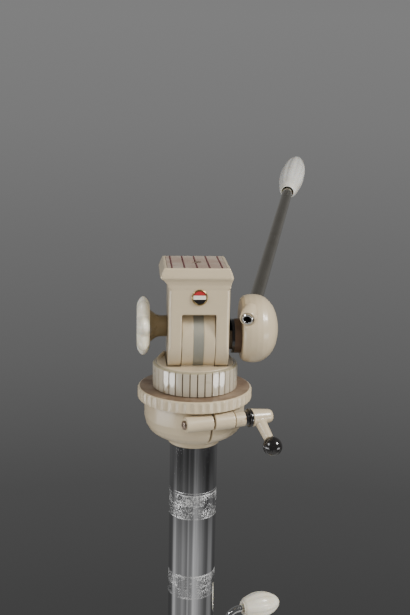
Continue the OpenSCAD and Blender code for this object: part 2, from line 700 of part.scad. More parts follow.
// One side of that outline, from the neck up to the top face
function rim_side(neck_half, neck_mid, rim_half, rim_mid, top_half, side) = let (
    low = neck_mid + side * neck_half,
    wide = rim_mid + side * rim_half
) [
    [low, flare_bottom], [low + (wide - low) * 0.12, flare_bottom + flare_h * 0.35],
    [low + (wide - low) * 0.45, flare_bottom + flare_h * 0.7], [wide, rim_bottom],
    [rim_mid + side * top_half, platform_z]
];

module platform_pad() color("rosybrown") difference() {
    at_top() translate([0, 0, platform_z - pad_h]) round_block(pad_half_x, pad_half_y, 1.5, pad_h);
    at_top() translate([0, 0, platform_z - 5]) cylinder(r = screw_r + move_gap, h = 10);
    for (k = [-2 : 2]) at_top() translate([k * strip_pitch - strip_w / 2, -40, platform_z - strip_sink])
        cube([strip_w, 80, 2]);
}
strip_sink = 0.8;

module grip_strips() color("darkred") difference() {
    for (k = [-2 : 2]) at_top() translate([k * strip_pitch - strip_w / 2, -pad_half_y, platform_z - strip_sink])
        cube([strip_w, 2 * pad_half_y, strip_sink + 0.2]);
    at_top() translate([0, 0, platform_z - 5]) cylinder(r = screw_r + 1.6, h = 10);
}

module front_badge() color("goldenrod")
    at_head() translate([neck_shift, -cheek_r, flare_bottom - badge_r - 0.2])
    rotate([90, 0, 0]) cylinder(r = badge_r, h = 1.1);

module tilt_shaft() color("silver") at_tilt() translate([0, 0, cheek_left + 2])
    cylinder(r = tilt_shaft_r, h = hub_face_x + 12 - cheek_left - 2);

module cheek_washer() color("gray") difference() {
    at_tilt() translate([0, 0, cheek_right]) tube(disc_r - 3, tilt_shaft_r, disc_x - cheek_right);
    at_tilt() translate([-lock_rise - 0.5, 0, cheek_right - 1]) cylinder(r = lock_nut_r + 0.4, h = 12);
}
disc_x = hub_face_x - fibre_disc_t - black_disc_t;

module lock_nut() color("black") at_tilt() difference() {
    translate([-lock_rise - 0.5, 0, cheek_right])
        cylinder(r1 = lock_nut_r, r2 = 4.4, h = disc_x - cheek_right - 0.2);
    translate([-lock_rise, 0, cheek_right - 1]) cylinder(r = lock_screw_r + run_gap, h = 4);
    translate([0, 0, cheek_right - 1]) cylinder(r = tilt_shaft_r + move_gap, h = 12);
}

module black_friction_disc() color("black") at_tilt() translate([0, 0, disc_x])
    tube(disc_r, tilt_shaft_r, black_disc_t);

module fibre_friction_disc() color("saddlebrown") at_tilt() translate([0, 0, disc_x + black_disc_t])
    tube(disc_r, tilt_shaft_r + run_gap, fibre_disc_t);

// Tilt lock on the left

module tilt_lock_screw() color("silver") at_tilt() translate([-lock_rise, 0, 1 - lock_hub_x1 - side_knob_t])
    cylinder(r = lock_screw_r, h = lock_hub_x1 + side_knob_t - 1 + cheek_right + 2);

module tilt_lock_hub() color("saddlebrown") at_tilt() translate([-lock_rise, 0, 0]) difference() {
    translate([0, 0, -lock_hub_x1]) rotate_extrude() polygon([
        [0, 0], [12.6, 0], [11.6, 2], [9.8, 4.6], [8.8, 7], [8.6, 8], [8.6, lock_hub_x1 - lock_hub_x0],
        [0, lock_hub_x1 - lock_hub_x0]
    ]);
    translate([0, 0, -60]) cylinder(r = lock_screw_r, h = 60);
}
lock_hub_x0 = move_gap - cheek_left;
lock_hub_x1 = 14.2 - cheek_left;

module tilt_lock_knob() color("ivory") at_tilt() translate([-lock_rise, 0, -lock_hub_x1 - side_knob_t])
    star_knob(side_knob_r, side_knob_lobes, side_knob_t, lock_screw_r);

// Camera screw with its finger wheel

module camera_screw() color("silver") at_top() {
    translate([0, 0, wheel_z]) cylinder(r = wheel_r, h = wheel_h);
    translate([0, 0, wheel_z + wheel_h - 1]) cylinder(r = screw_r, h = platform_z - 1.2 - wheel_z - wheel_h + 1);
}

// Handle

module handle_hub() color("tan") difference() {
    at_head() translate([hub_face_x, -1, dome_z]) rotate([0, 90, 0]) rotate_extrude() polygon([
        [0, 0], [dome_r - 3.5, 0], [dome_r - 1.4, 2], [dome_r - 0.3, 6], [dome_r, 11],
        [dome_r - 0.7, 15.5], [dome_r - 2.5, 19.5], [dome_r - 5.5, dome_h - 7.6], [dome_r - 8.8, dome_h - 4.9],
        [dome_r - 13.6, dome_h - 2.6], [dome_r - 18.8, dome_h - 1.2], [dome_r - 23.8, dome_h - 0.3], [0, dome_h]
    ]);
    at_tilt() translate([0, 0, hub_face_x - 1]) cylinder(r = tilt_shaft_r + run_gap, h = 13.4);
    at_socket() translate([0, 0, -12]) cylinder(r = bush_sink, h = 15.5);
    at_socket() cylinder(r = bush_r, h = bush_len);
    at_handle() translate([0, 0, -0.2]) cylinder(r = rod_r + run_gap, h = 60);
}

module handle_bush() color("silver") at_socket() difference() {
    translate([0, 0, -1.5]) cylinder(r = bush_r, h = bush_len + 1.4);
    translate([0, 0, -3]) cylinder(r = socket_hole_r, h = 13.5);
}

module handle_rod() color("gray") at_handle() {
    cylinder(r = rod_r, h = 40);
    translate([0, 0, 40]) cylinder(r1 = rod_r, r2 = rod_end_r, h = rod_len - 36);
    translate([0, 0, rod_len + 3]) cylinder(r = rod_end_r, h = grip_len * 0.55);
}

module handle_grip() color("ivory") at_handle() translate([0, 0, rod_len])
    bud_grip(grip_len, grip_r, 7.6, rod_end_r + 0.06, grip_len * 0.62);

// Legs

module leg_fork(i) color("tan") at_leg(i) difference() {
    union() {
        for (s = [-1, 1]) translate([0, s > 0 ? lug_w / 2 + fork_gap : -lug_w / 2 - fork_gap - fork_wall, 0]) {
            rotate([-90, 0, 0]) cylinder(r = lug_r + 1, h = fork_wall);
            translate([-lug_r - 1, 0, socket_top - 1]) cube([2 * lug_r + 2, fork_wall, -socket_top + 1]);
        }
        translate([0, 0, socket_top - socket_h]) cylinder(r = upper_r + 2.8, h = socket_h);
    }
    translate([0, -20, 0]) rotate([-90, 0, 0]) cylinder(r = hinge_bolt_r + run_gap, h = 40);
    translate([0, 0, socket_top - socket_h - 1]) cylinder(r = upper_r + 0.02, h = upper_top - socket_top + socket_h + 1);
}

module leg_upper_tube(i) color("tan") at_leg(i) translate([0, 0, upper_bottom])
    tube(upper_r, upper_r - leg_wall, upper_len);

module leg_clamp(i) color("tan") at_leg(i) difference() {
    union() {
        translate([0, 0, upper_bottom - 18]) cylinder(r = upper_r + 3, h = clamp_h);
        translate([0, 0, upper_bottom - 9]) rotate([0, 90, 0]) cylinder(r = 7.5, h = upper_r + 11);
    }
    translate([0, 0, upper_bottom]) cylinder(r = upper_r + 0.02, h = clamp_h);
    translate([0, 0, upper_bottom - 20]) cylinder(r = lower_r + run_gap, h = 30);
    translate([0, 0, upper_bottom - 9]) rotate([0, 90, 0]) cylinder(r = 3 + run_gap, h = 40);
}

module leg_knob(i) color("ivory") at_leg(i) translate([0, 0, upper_bottom - 9]) rotate([0, 90, 0]) {
    translate([0, 0, lower_r + move_gap]) cylinder(r = 3, h = upper_r + 10);
    translate([0, 0, upper_r + 11 + move_gap]) cylinder(r = 6.5, h = 4);
    translate([0, 0, upper_r + 14.5]) star_knob(leg_knob_r, 6, 8, 1);
}

module leg_lower_tube(i) color("silver") at_leg(i) translate([0, 0, lower_bottom])
    tube(lower_r, lower_r - leg_wall, lower_top - lower_bottom);

module leg_foot(i) color("dimgray") difference() {
    at_leg(i) translate([0, 0, -leg_len]) {
        sphere(r = foot_r);
        cylinder(r = foot_r - 0.8, h = 26);
    }
    at_leg(i) translate([0, 0, lower_bottom]) cylinder(r = lower_r + 0.02, h = 60);
    translate([-600, -600, -40]) cube([1200, 1200, 40]);
}

shoulder_casting();
column_bushes();
gear_cover();
cover_screws();
leg_hinge_bolts();
column_tube();
gear_rack();
column_end_cap();
bowl_clamp();
clamp_bolt();
clamp_sleeve();
pinion_shaft();
crank_arm();
crank_grip();
column_lock_screw();
column_lock_knob();
lever_washer();
clamp_lever();
lever_ball();
pan_spindle();
flange_ring();
tilt_knuckle();
brake_band();
tension_ring();
yoke_casting();
platform_pad();
grip_strips();
front_badge();
tilt_shaft();
cheek_washer();
lock_nut();
black_friction_disc();
tilt_lock_screw();
tilt_lock_hub();
tilt_lock_knob();
camera_screw();
fibre_friction_disc();
handle_hub();
handle_bush();
handle_rod();
handle_grip();
leg_fork(0);  // leg_1_fork
leg_upper_tube(0);  // leg_1_upper_tube
leg_clamp(0);  // leg_1_clamp
leg_knob(0);  // leg_1_knob
leg_lower_tube(0);  // leg_1_lower_tube
leg_foot(0);  // leg_1_foot
leg_fork(1);  // leg_2_fork
leg_upper_tube(1);  // leg_2_upper_tube
leg_clamp(1);  // leg_2_clamp
leg_knob(1);  // leg_2_knob
leg_lower_tube(1);  // leg_2_lower_tube
leg_foot(1);  // leg_2_foot
leg_fork(2);  // leg_3_fork
leg_upper_tube(2);  // leg_3_upper_tube
leg_clamp(2);  // leg_3_clamp
leg_knob(2);  // leg_3_knob
leg_lower_tube(2);  // leg_3_lower_tube
leg_foot(2);  // leg_3_foot
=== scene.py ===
"""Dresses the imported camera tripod: soft castings, fluted grips, worn metals and the photo's view.

Sizes are millimetres in the head's frame, with the column's axis at the origin and Z = 0 on the
pan flange's top face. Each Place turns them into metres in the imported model's own frame.
"""

import json
import logging
from collections.abc import Callable, Sequence
from dataclasses import dataclass
from enum import Enum
from math import cos, hypot, pi, radians, sin, sqrt, tau

import bmesh
import bpy
from mathutils import Matrix, Vector

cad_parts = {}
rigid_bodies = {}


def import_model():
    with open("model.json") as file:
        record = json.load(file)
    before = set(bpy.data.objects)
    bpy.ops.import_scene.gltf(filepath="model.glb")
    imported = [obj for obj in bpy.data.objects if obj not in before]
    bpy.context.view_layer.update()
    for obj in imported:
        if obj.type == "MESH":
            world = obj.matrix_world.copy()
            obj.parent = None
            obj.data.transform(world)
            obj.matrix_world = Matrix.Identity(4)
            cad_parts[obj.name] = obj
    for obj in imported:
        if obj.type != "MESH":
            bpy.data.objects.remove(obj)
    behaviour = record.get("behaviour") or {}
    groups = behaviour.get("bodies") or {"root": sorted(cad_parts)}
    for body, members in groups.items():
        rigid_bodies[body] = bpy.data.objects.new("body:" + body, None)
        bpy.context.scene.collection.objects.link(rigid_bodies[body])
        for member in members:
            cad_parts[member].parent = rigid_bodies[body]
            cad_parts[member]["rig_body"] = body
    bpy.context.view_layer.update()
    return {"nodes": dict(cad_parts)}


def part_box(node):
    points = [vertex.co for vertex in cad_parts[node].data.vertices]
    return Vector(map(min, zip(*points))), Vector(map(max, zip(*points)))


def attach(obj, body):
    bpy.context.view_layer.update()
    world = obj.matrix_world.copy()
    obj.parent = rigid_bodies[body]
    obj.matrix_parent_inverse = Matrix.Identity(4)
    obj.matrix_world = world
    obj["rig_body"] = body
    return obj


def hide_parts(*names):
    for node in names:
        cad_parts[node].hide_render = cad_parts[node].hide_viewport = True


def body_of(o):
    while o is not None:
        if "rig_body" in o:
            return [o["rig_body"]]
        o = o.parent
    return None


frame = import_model()
log = logging.getLogger("tripod")

Triple = tuple[float, float, float]
Color = Triple
Profile = Sequence[tuple[float, float]]
Shape = Callable[[float, float, float], float]
Socket = bpy.types.NodeSocket
Material = bpy.types.Material
Mesh = bmesh.types.BMesh
MM = 0.001


class Slot(Enum):
    """Names of the record's material slots."""

    CAST = "cast_paint"
    IVORY = "ivory_plastic"
    STEEL = "plain_steel"
    CHROME = "column_chrome"
    ROD = "rod_steel"
    BLACK = "black_plastic"
    BRASS = "badge_brass"
    LEG = "leg_paint"


class Mixed(Enum):
    """What a mix node mixes: its data type, the input of its first value and its output."""

    VALUE = ("FLOAT", 2, 0)
    COLOR = ("RGBA", 6, 2)


@dataclass(frozen=True)
class Place:
    """A local frame of the tripod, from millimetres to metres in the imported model."""

    matrix: Matrix

    def moved(self, x: float = 0.0, y: float = 0.0, z: float = 0.0) -> "Place":
        """The same frame, moved by millimetres along its own axes."""
        return Place(self.matrix @ Matrix.Translation((x, y, z)))

    def turned(self, degrees: float, axis: str) -> "Place":
        """The same frame, turned about one of its own axes."""
        return Place(self.matrix @ Matrix.Rotation(radians(degrees), 4, axis))

    def point(self, x: float = 0.0, y: float = 0.0, z: float = 0.0) -> Vector:
        """A point of this frame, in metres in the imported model."""
        return self.matrix @ Vector((x, y, z))


@dataclass(frozen=True)
class Layout:
    """Where the tripod's sub-assemblies stand, from the CAD nodes and a few sizes of the part."""

    base_turn: float = 17.0
    barrel_reach: float = 42.0
    barrel_drop: float = 18.1
    tilt_z: float = 42.0
    crank_drop: float = 285.0
    hinge_drop: float = 72.0
    hinge_r: float = 48.0
    leg_angle: float = 24.0
    top_shift: float = 1.3
    rod_lift: float = 16.0
    rod_turn: float = 14.9
    rod_seat: Triple = (46.1, -3.0, 65.4)
    socket_lift: float = 18.0
    socket_turn: float = 16.2
    socket_mouth: Triple = (39.0, -27.0, 62.6)

    def head(self) -> Place:
        """Column axis, with Z = 0 on the pan flange's top face.

        Returns:
            The frame that all the others are placed from.
        """
        low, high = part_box("flange_ring")
        middle = Vector(((low[0] + high[0]) / 2, (low[1] + high[1]) / 2, high[2]))
        return Place(Matrix.Translation(middle) @ Matrix.Scale(MM, 4))

    def base(self) -> Place:
        """The head's frame turned with the crank and the pan clamp."""
        return self.head().turned(self.base_turn, "Z")

    def barrel(self) -> Place:
        """Clamp bolt's axis along +Z."""
        return self.base().moved(0, -self.barrel_reach, -self.barrel_drop).turned(90, "Y")

    def tilt(self) -> Place:
        """Tilt axis along +Z, to the right of the head."""
        return self.head().moved(z=self.tilt_z).turned(90, "Y")

    def crank(self, pinion_y: float) -> Place:
        """Crank axis along +Z, outwards from the column."""
        return self.base().moved(0, pinion_y, -self.crank_drop).turned(90, "Y")

    def top(self) -> Place:
        """Camera screw's axis, in the middle of the platform."""
        return self.head().moved(x=-self.top_shift)

    def handle(self) -> Place:
        """Handle rod's axis along +Z, from its seat in the hub to the grip."""
        place = self.head().moved(*self.rod_seat)
        return place.turned(90 - self.rod_turn, "Z").turned(90 - self.rod_lift, "Y")

    def socket(self) -> Place:
        """Front socket's axis along +Z, from its mouth into the hub."""
        place = self.head().moved(*self.socket_mouth)
        return place.turned(90 - self.socket_turn, "Z").turned(90 - self.socket_lift, "Y")

    def leg(self, azimuth: float) -> Place:
        """A leg's hinge at the origin and the leg along -Z."""
        place = self.head().turned(azimuth, "Z").moved(self.hinge_r, 0, -self.crank_drop - self.hinge_drop)
        return place.turned(-self.leg_angle, "Y")


class Nodes:
    """A node tree, and the steps that the finishes and the world are made of."""

    def __init__(self, tree: bpy.types.NodeTree) -> None:
        """Keeps the tree that the nodes go into."""
        self.tree = tree

    def node(self, kind: str, **settings: object) -> bpy.types.Node:
        """Adds a node and sets its properties.

        Args:
            kind: Node's type.
            settings: Its properties, by name.

        Returns:
            The new node.
        """
        made = self.tree.nodes.new(kind)
        for key, value in settings.items():
            setattr(made, key, value)
        return made

    def feed(self, socket: Socket, value: Socket | Color | float) -> None:
        """Links a source to a socket, or sets the socket's constant.

        Args:
            socket: Input to feed.
            value: Source, colour or number.
        """
        if isinstance(value, Socket):
            self.tree.links.new(value, socket)
        elif isinstance(value, tuple) and len(socket.default_value) == 4:
            socket.default_value = (*value, 1.0)
        else:
            socket.default_value = value

    def ramp(self, source: Socket, low: float, high: float, start: float = 0.0, end: float = 1.0) -> Socket:
        """Maps a source's low..high to start..end, eased and clamped.

        Args:
            source: Value to map.
            low: Value that gives start.
            high: Value that gives end.
            start: Result at low and beyond.
            end: Result at high and beyond.

        Returns:
            The mapped value.
        """
        made = self.node("ShaderNodeMapRange", interpolation_type="SMOOTHSTEP")
        for index, value in enumerate((source, low, high, start, end)):
            self.feed(made.inputs[index], value)
        return made.outputs["Result"]

    def math(self, operation: str, a: Socket, b: Socket | float = 0.0) -> Socket:
        """One arithmetic step on one or two values.

        Args:
            operation: Name of the step, such as ADD.
            a: First value.
            b: Second value, for a step that takes two.

        Returns:
            The result.
        """
        made = self.node("ShaderNodeMath", operation=operation)
        self.feed(made.inputs[0], a)
        self.feed(made.inputs[1], b)
        return made.outputs[0]

    def mix(self, factor: Socket, a: Socket | Color | float, b: Socket | Color | float,
            kind: Mixed = Mixed.VALUE) -> Socket:
        """Value or colour a where the factor is 0, and b where it is 1.

        Args:
            factor: Share of b, 0 to 1.
            a: First value or colour.
            b: Second value or colour.
            kind: What is mixed.

        Returns:
            The mixed value or colour.
        """
        data_type, first, out = kind.value
        made = self.node("ShaderNodeMix", data_type=data_type)
        for index, value in ((0, factor), (first, a), (first + 1, b)):
            self.feed(made.inputs[index], value)
        return made.outputs[out]

    def curve(self, source: Socket, points: Profile) -> Socket:
        """A value that runs through the given points, straight from one to the next.

        Args:
            source: Value to look up.
            points: Values and their results, in rising order.

        Returns:
            The result, as a grey colour.
        """
        first, last = points[0][0], points[-1][0]
        share = self.node("ShaderNodeMapRange")
        for index, value in enumerate((source, first, last)):
            self.feed(share.inputs[index], value)
        ramp = self.node("ShaderNodeValToRGB")
        stops = ramp.color_ramp.elements
        for at, value in points[1:-1]:
            stops.new((at - first) / (last - first))
        for stop, (at, value) in zip(stops, points):
            stop.color = (value, value, value, 1.0)
        self.feed(ramp.inputs["Fac"], share.outputs["Result"])
        return ramp.outputs["Color"]


class Shader(Nodes):
    """One Principled material and the texture nodes that feed it."""

    def __init__(self, name: str, color: Color, roughness: float, metallic: float = 0.0) -> None:
        """Makes the material.

        Args:
            name: Material's name.
            color: Base colour.
            roughness: Roughness all over the surface, unless a texture is linked to it.
            metallic: 1 for a bare metal.
        """
        self.material = bpy.data.materials.new(name)
        self.material.use_nodes = True
        self.material.diffuse_color = (*color, 1.0)
        super().__init__(self.material.node_tree)
        self.bsdf = self.tree.nodes["Principled BSDF"]
        self.set("Base Color", color)
        self.set("Roughness", roughness)
        self.set("Metallic", metallic)

    def set(self, socket: str, value: Socket | Color | float) -> None:
        """Sets a constant on the shader's own socket, or feeds a texture into it."""
        self.feed(self.bsdf.inputs[socket], value)

    def coords(self, stretch: Triple = (1, 1, 1), place: Place | None = None) -> Socket:
        """Coordinates on the object.

        Args:
            stretch: Scale along each axis, so that a small one gives streaks.
            place: Frame whose axes the stretch follows, or None for the model's own.

        Returns:
            The vector socket.
        """
        coord = self.node("ShaderNodeTexCoord").outputs["Object"]
        if place is not None:
            turn = self.node("ShaderNodeMapping")
            turn.inputs["Rotation"].default_value = place.matrix.to_3x3().normalized().inverted().to_euler()
            self.feed(turn.inputs["Vector"], coord)
            coord = turn.outputs["Vector"]
        mapping = self.node("ShaderNodeMapping")
        mapping.inputs["Scale"].default_value = stretch
        self.feed(mapping.inputs["Vector"], coord)
        return mapping.outputs["Vector"]

    def noise(self, scale: float, detail: float = 4.0, rough: float = 0.55,
              vector: Socket | None = None) -> Socket:
        """Noise with features about 1/scale metres wide.

        Args:
            scale: Features per metre.
            detail: Octaves of finer features.
            rough: Strength of the finer features, 0 to 1.
            vector: Coordinates, or None for the object's own.

        Returns:
            The noise, about 0 to 1.
        """
        made = self.node("ShaderNodeTexNoise")
        for socket, value in (("Scale", scale), ("Detail", detail), ("Roughness", rough),
                              ("Vector", vector or self.coords())):
            self.feed(made.inputs[socket], value)
        return made.outputs["Fac"]

    def blend(self, factor: Socket, a: Color | Socket, b: Color) -> Socket:
        """Colour a where the factor is 0 and colour b where it is 1."""
        return self.mix(factor, a, b, Mixed.COLOR)

    def pointiness(self, low: float, high: float) -> Socket:
        """How sharp the surface turns, mapped to 0..1 between low and high."""
        return self.ramp(self.node("ShaderNodeNewGeometry").outputs["Pointiness"], low, high)

    def height(self, source: Socket, strength: float, distance: float) -> None:
        """Bumps the surface.

        Args:
            source: Height texture.
            strength: Bump strength, 0 to 1.
            distance: Full height in metres.
        """
        made = self.node("ShaderNodeBump")
        for socket, value in (("Strength", strength), ("Distance", distance), ("Height", source)):
            self.feed(made.inputs[socket], value)
        below = self.bsdf.inputs["Normal"]
        if below.is_linked:
            self.feed(made.inputs["Normal"], below.links[0].from_socket)
        self.set("Normal", made.outputs["Normal"])


@dataclass(frozen=True)
class Enamel:
    """Sprayed enamel with a fine grain, faint mottling, rubbed edges, and grime plus painted shade darkening
    the corners.
    """

    name: str
    color: Color
    rubbed: Color
    grime_and_shade: Color
    roughness: float = 0.36
    grain: float = 0.16
    coat: float = 0.45
    coat_roughness: float = 0.14
    coat_index: float = 1.5

    def material(self) -> Material:
        """The enamel's node material.

        Returns:
            The material, with its nodes.
        """
        shader = Shader(self.name, self.color, self.roughness)
        shader.set("Coat Weight", self.coat)
        shader.set("Coat Roughness", self.coat_roughness)
        shader.set("Coat IOR", self.coat_index)
        cloud = shader.ramp(shader.noise(38, 5), 0.42, 0.72, 0.0, 0.35)
        base = shader.blend(cloud, self.color, tuple(c * 0.86 for c in self.color))
        specks = shader.ramp(shader.noise(900, 2, 0.6), 0.70, 0.78, 0.0, 0.55)
        base = shader.blend(specks, base, self.grime_and_shade)
        # Corners and creases are darkened towards the grime colour: part grime, part painted shade.
        corners = shader.math("MULTIPLY", shader.ramp(shader.pointiness(0.40, 0.50), 0.0, 1.0, 0.55, 0.0),
                              shader.ramp(shader.noise(160, 4), 0.3, 0.6, 0.35, 1.0))
        base = shader.blend(corners, base, self.grime_and_shade)
        edges = shader.math("MULTIPLY", shader.pointiness(0.55, 0.64),
                            shader.ramp(shader.noise(240, 5), 0.50, 0.66))
        base = shader.blend(edges, base, self.rubbed)
        shader.set("Base Color", base)
        shader.set("Roughness", shader.ramp(shader.noise(70, 5), 0.3, 0.7, self.roughness - 0.07,
                                            self.roughness + 0.1))
        shader.height(shader.noise(1500, 2), self.grain, 0.00008)
        shader.height(shader.noise(210, 3), 0.12, 0.0003)
        return shader.material


@dataclass(frozen=True)
class Plastic:
    """Moulded plastic with faint yellowing, hairline scuffs, and dirt plus painted shade darkening the
    hollows.
    """

    name: str
    color: Color
    aged: Color
    dirt_and_shade: Color
    roughness: float
    coat: float = 0.0
    glow: float = 0.0

    def material(self) -> Material:
        """The plastic's node material.

        Returns:
            The material, with its nodes.
        """
        shader = Shader(self.name, self.color, self.roughness)
        shader.set("Coat Weight", self.coat)
        shader.set("Coat Roughness", 0.12)
        if self.glow:
            shader.set("Subsurface Weight", self.glow)
            shader.set("Subsurface Radius", (0.003, 0.002, 0.001))
            shader.set("Subsurface Scale", 0.6)
        base = shader.blend(shader.ramp(shader.noise(45, 4), 0.4, 0.7), self.color, self.aged)
        # Hollows are darkened towards the dirt colour: part dirt, part painted shade.
        hollows = shader.math("MULTIPLY", shader.ramp(shader.pointiness(0.42, 0.5), 0.0, 1.0, 0.6, 0.0),
                              shader.ramp(shader.noise(300, 4), 0.35, 0.65, 0.4, 1.0))
        base = shader.blend(hollows, base, self.dirt_and_shade)
        scuffs = shader.ramp(shader.noise(500, 6, 0.7), 0.66, 0.74, 0.0, 0.4)
        shader.set("Base Color", shader.blend(scuffs, base, self.dirt_and_shade))
        shader.set("Roughness", shader.ramp(shader.noise(120, 5), 0.3, 0.7, self.roughness - 0.08,
                                            self.roughness + 0.12))
        shader.height(shader.noise(700, 3), 0.05, 0.0001)
        return shader.material


@dataclass(frozen=True)
class Metal:
    """Bare metal with fine streaks along one axis, stains and scratches."""

    name: str
    color: Color
    stain: Color
    roughness: float
    streaks: Triple = (1.0, 1.0, 1.0)
    place: Place | None = None
    stained: float = 0.3

    def material(self) -> Material:
        """The metal's node material.

        Returns:
            The material, with its nodes.
        """
        shader = Shader(self.name, self.color, self.roughness, 1.0)
        lines = shader.noise(1400, 3, 0.6, shader.coords(self.streaks, self.place))
        spots = shader.ramp(shader.noise(90, 5), 0.46, 0.72, 0.0, self.stained)
        shader.set("Base Color", shader.blend(spots, self.color, self.stain))
        shader.set("Roughness", shader.ramp(lines, 0.35, 0.7, max(self.roughness - 0.06, 0.02),
                                            self.roughness + 0.1))
        shader.height(lines, 0.06, 0.00006)
        return shader.material


@dataclass(frozen=True)
class ScuffedChrome:
    """Chrome of the column, with rows of frosted scuffs where the guide and clamps bit.

    Each band is a depth below the flange and a half width, in millimetres, and a strength.
    """

    name: str
    color: Color
    frost: Color
    bands: Sequence[Triple]
    top: float

    def material(self) -> Material:
        """The chrome's node material.

        Returns:
            The material, with its nodes.
        """
        shader = Shader(self.name, self.color, 0.06, 1.0)
        split = shader.node("ShaderNodeSeparateXYZ")
        shader.feed(split.inputs[0], shader.node("ShaderNodeTexCoord").outputs["Object"])
        scratch = shader.noise(820, 9, 0.74, shader.coords((1.0, 1.0, 0.7)))
        scratch = shader.ramp(scratch, 0.43, 0.64, 0.10, 0.9)
        patch = shader.ramp(shader.noise(85, 5), 0.32, 0.62, 0.15, 0.85)
        # Faint darker vertical streaks like a drawn tube's, which also stand in for the column's reflection
        # stripes: partly painted reflection.
        drawn_streak_and_reflection = shader.ramp(shader.noise(520, 4, 0.6, shader.coords((1.0, 1.0, 0.02))), 0.35, 0.65, 0.0, 0.5)
        fleck = shader.noise(1100, 6, 0.7, shader.coords((1.0, 1.0, 0.5)))
        total = shader.ramp(fleck, 0.66, 0.74, 0.0, 0.4)
        height = split.outputs["Z"]
        for drop, half, strength in self.bands:
            away = shader.math("ABSOLUTE", shader.math("SUBTRACT", height, self.top - drop * MM))
            edge = half * MM
            inside = shader.math("MULTIPLY", shader.ramp(away, edge * 0.92, edge, strength, 0.0), patch)
            ring = shader.math("MULTIPLY", shader.ramp(away, edge * 0.84, edge * 0.94),
                               shader.ramp(away, edge * 0.96, edge * 1.03, 0.4, 0.0))
            total = shader.math("ADD", total, shader.math("MULTIPLY", inside, scratch))
            total = shader.math("ADD", total, shader.math("MULTIPLY", ring, patch))
        base = shader.blend(drawn_streak_and_reflection, self.color, tuple(c * 0.7 for c in self.color))
        shader.set("Base Color", shader.blend(total, base, self.frost))
        shader.set("Roughness", shader.ramp(total, 0.0, 1.0, 0.035, 0.6))
        shader.set("Metallic", shader.ramp(total, 0.0, 1.0, 1.0, 0.4))
        return shader.material


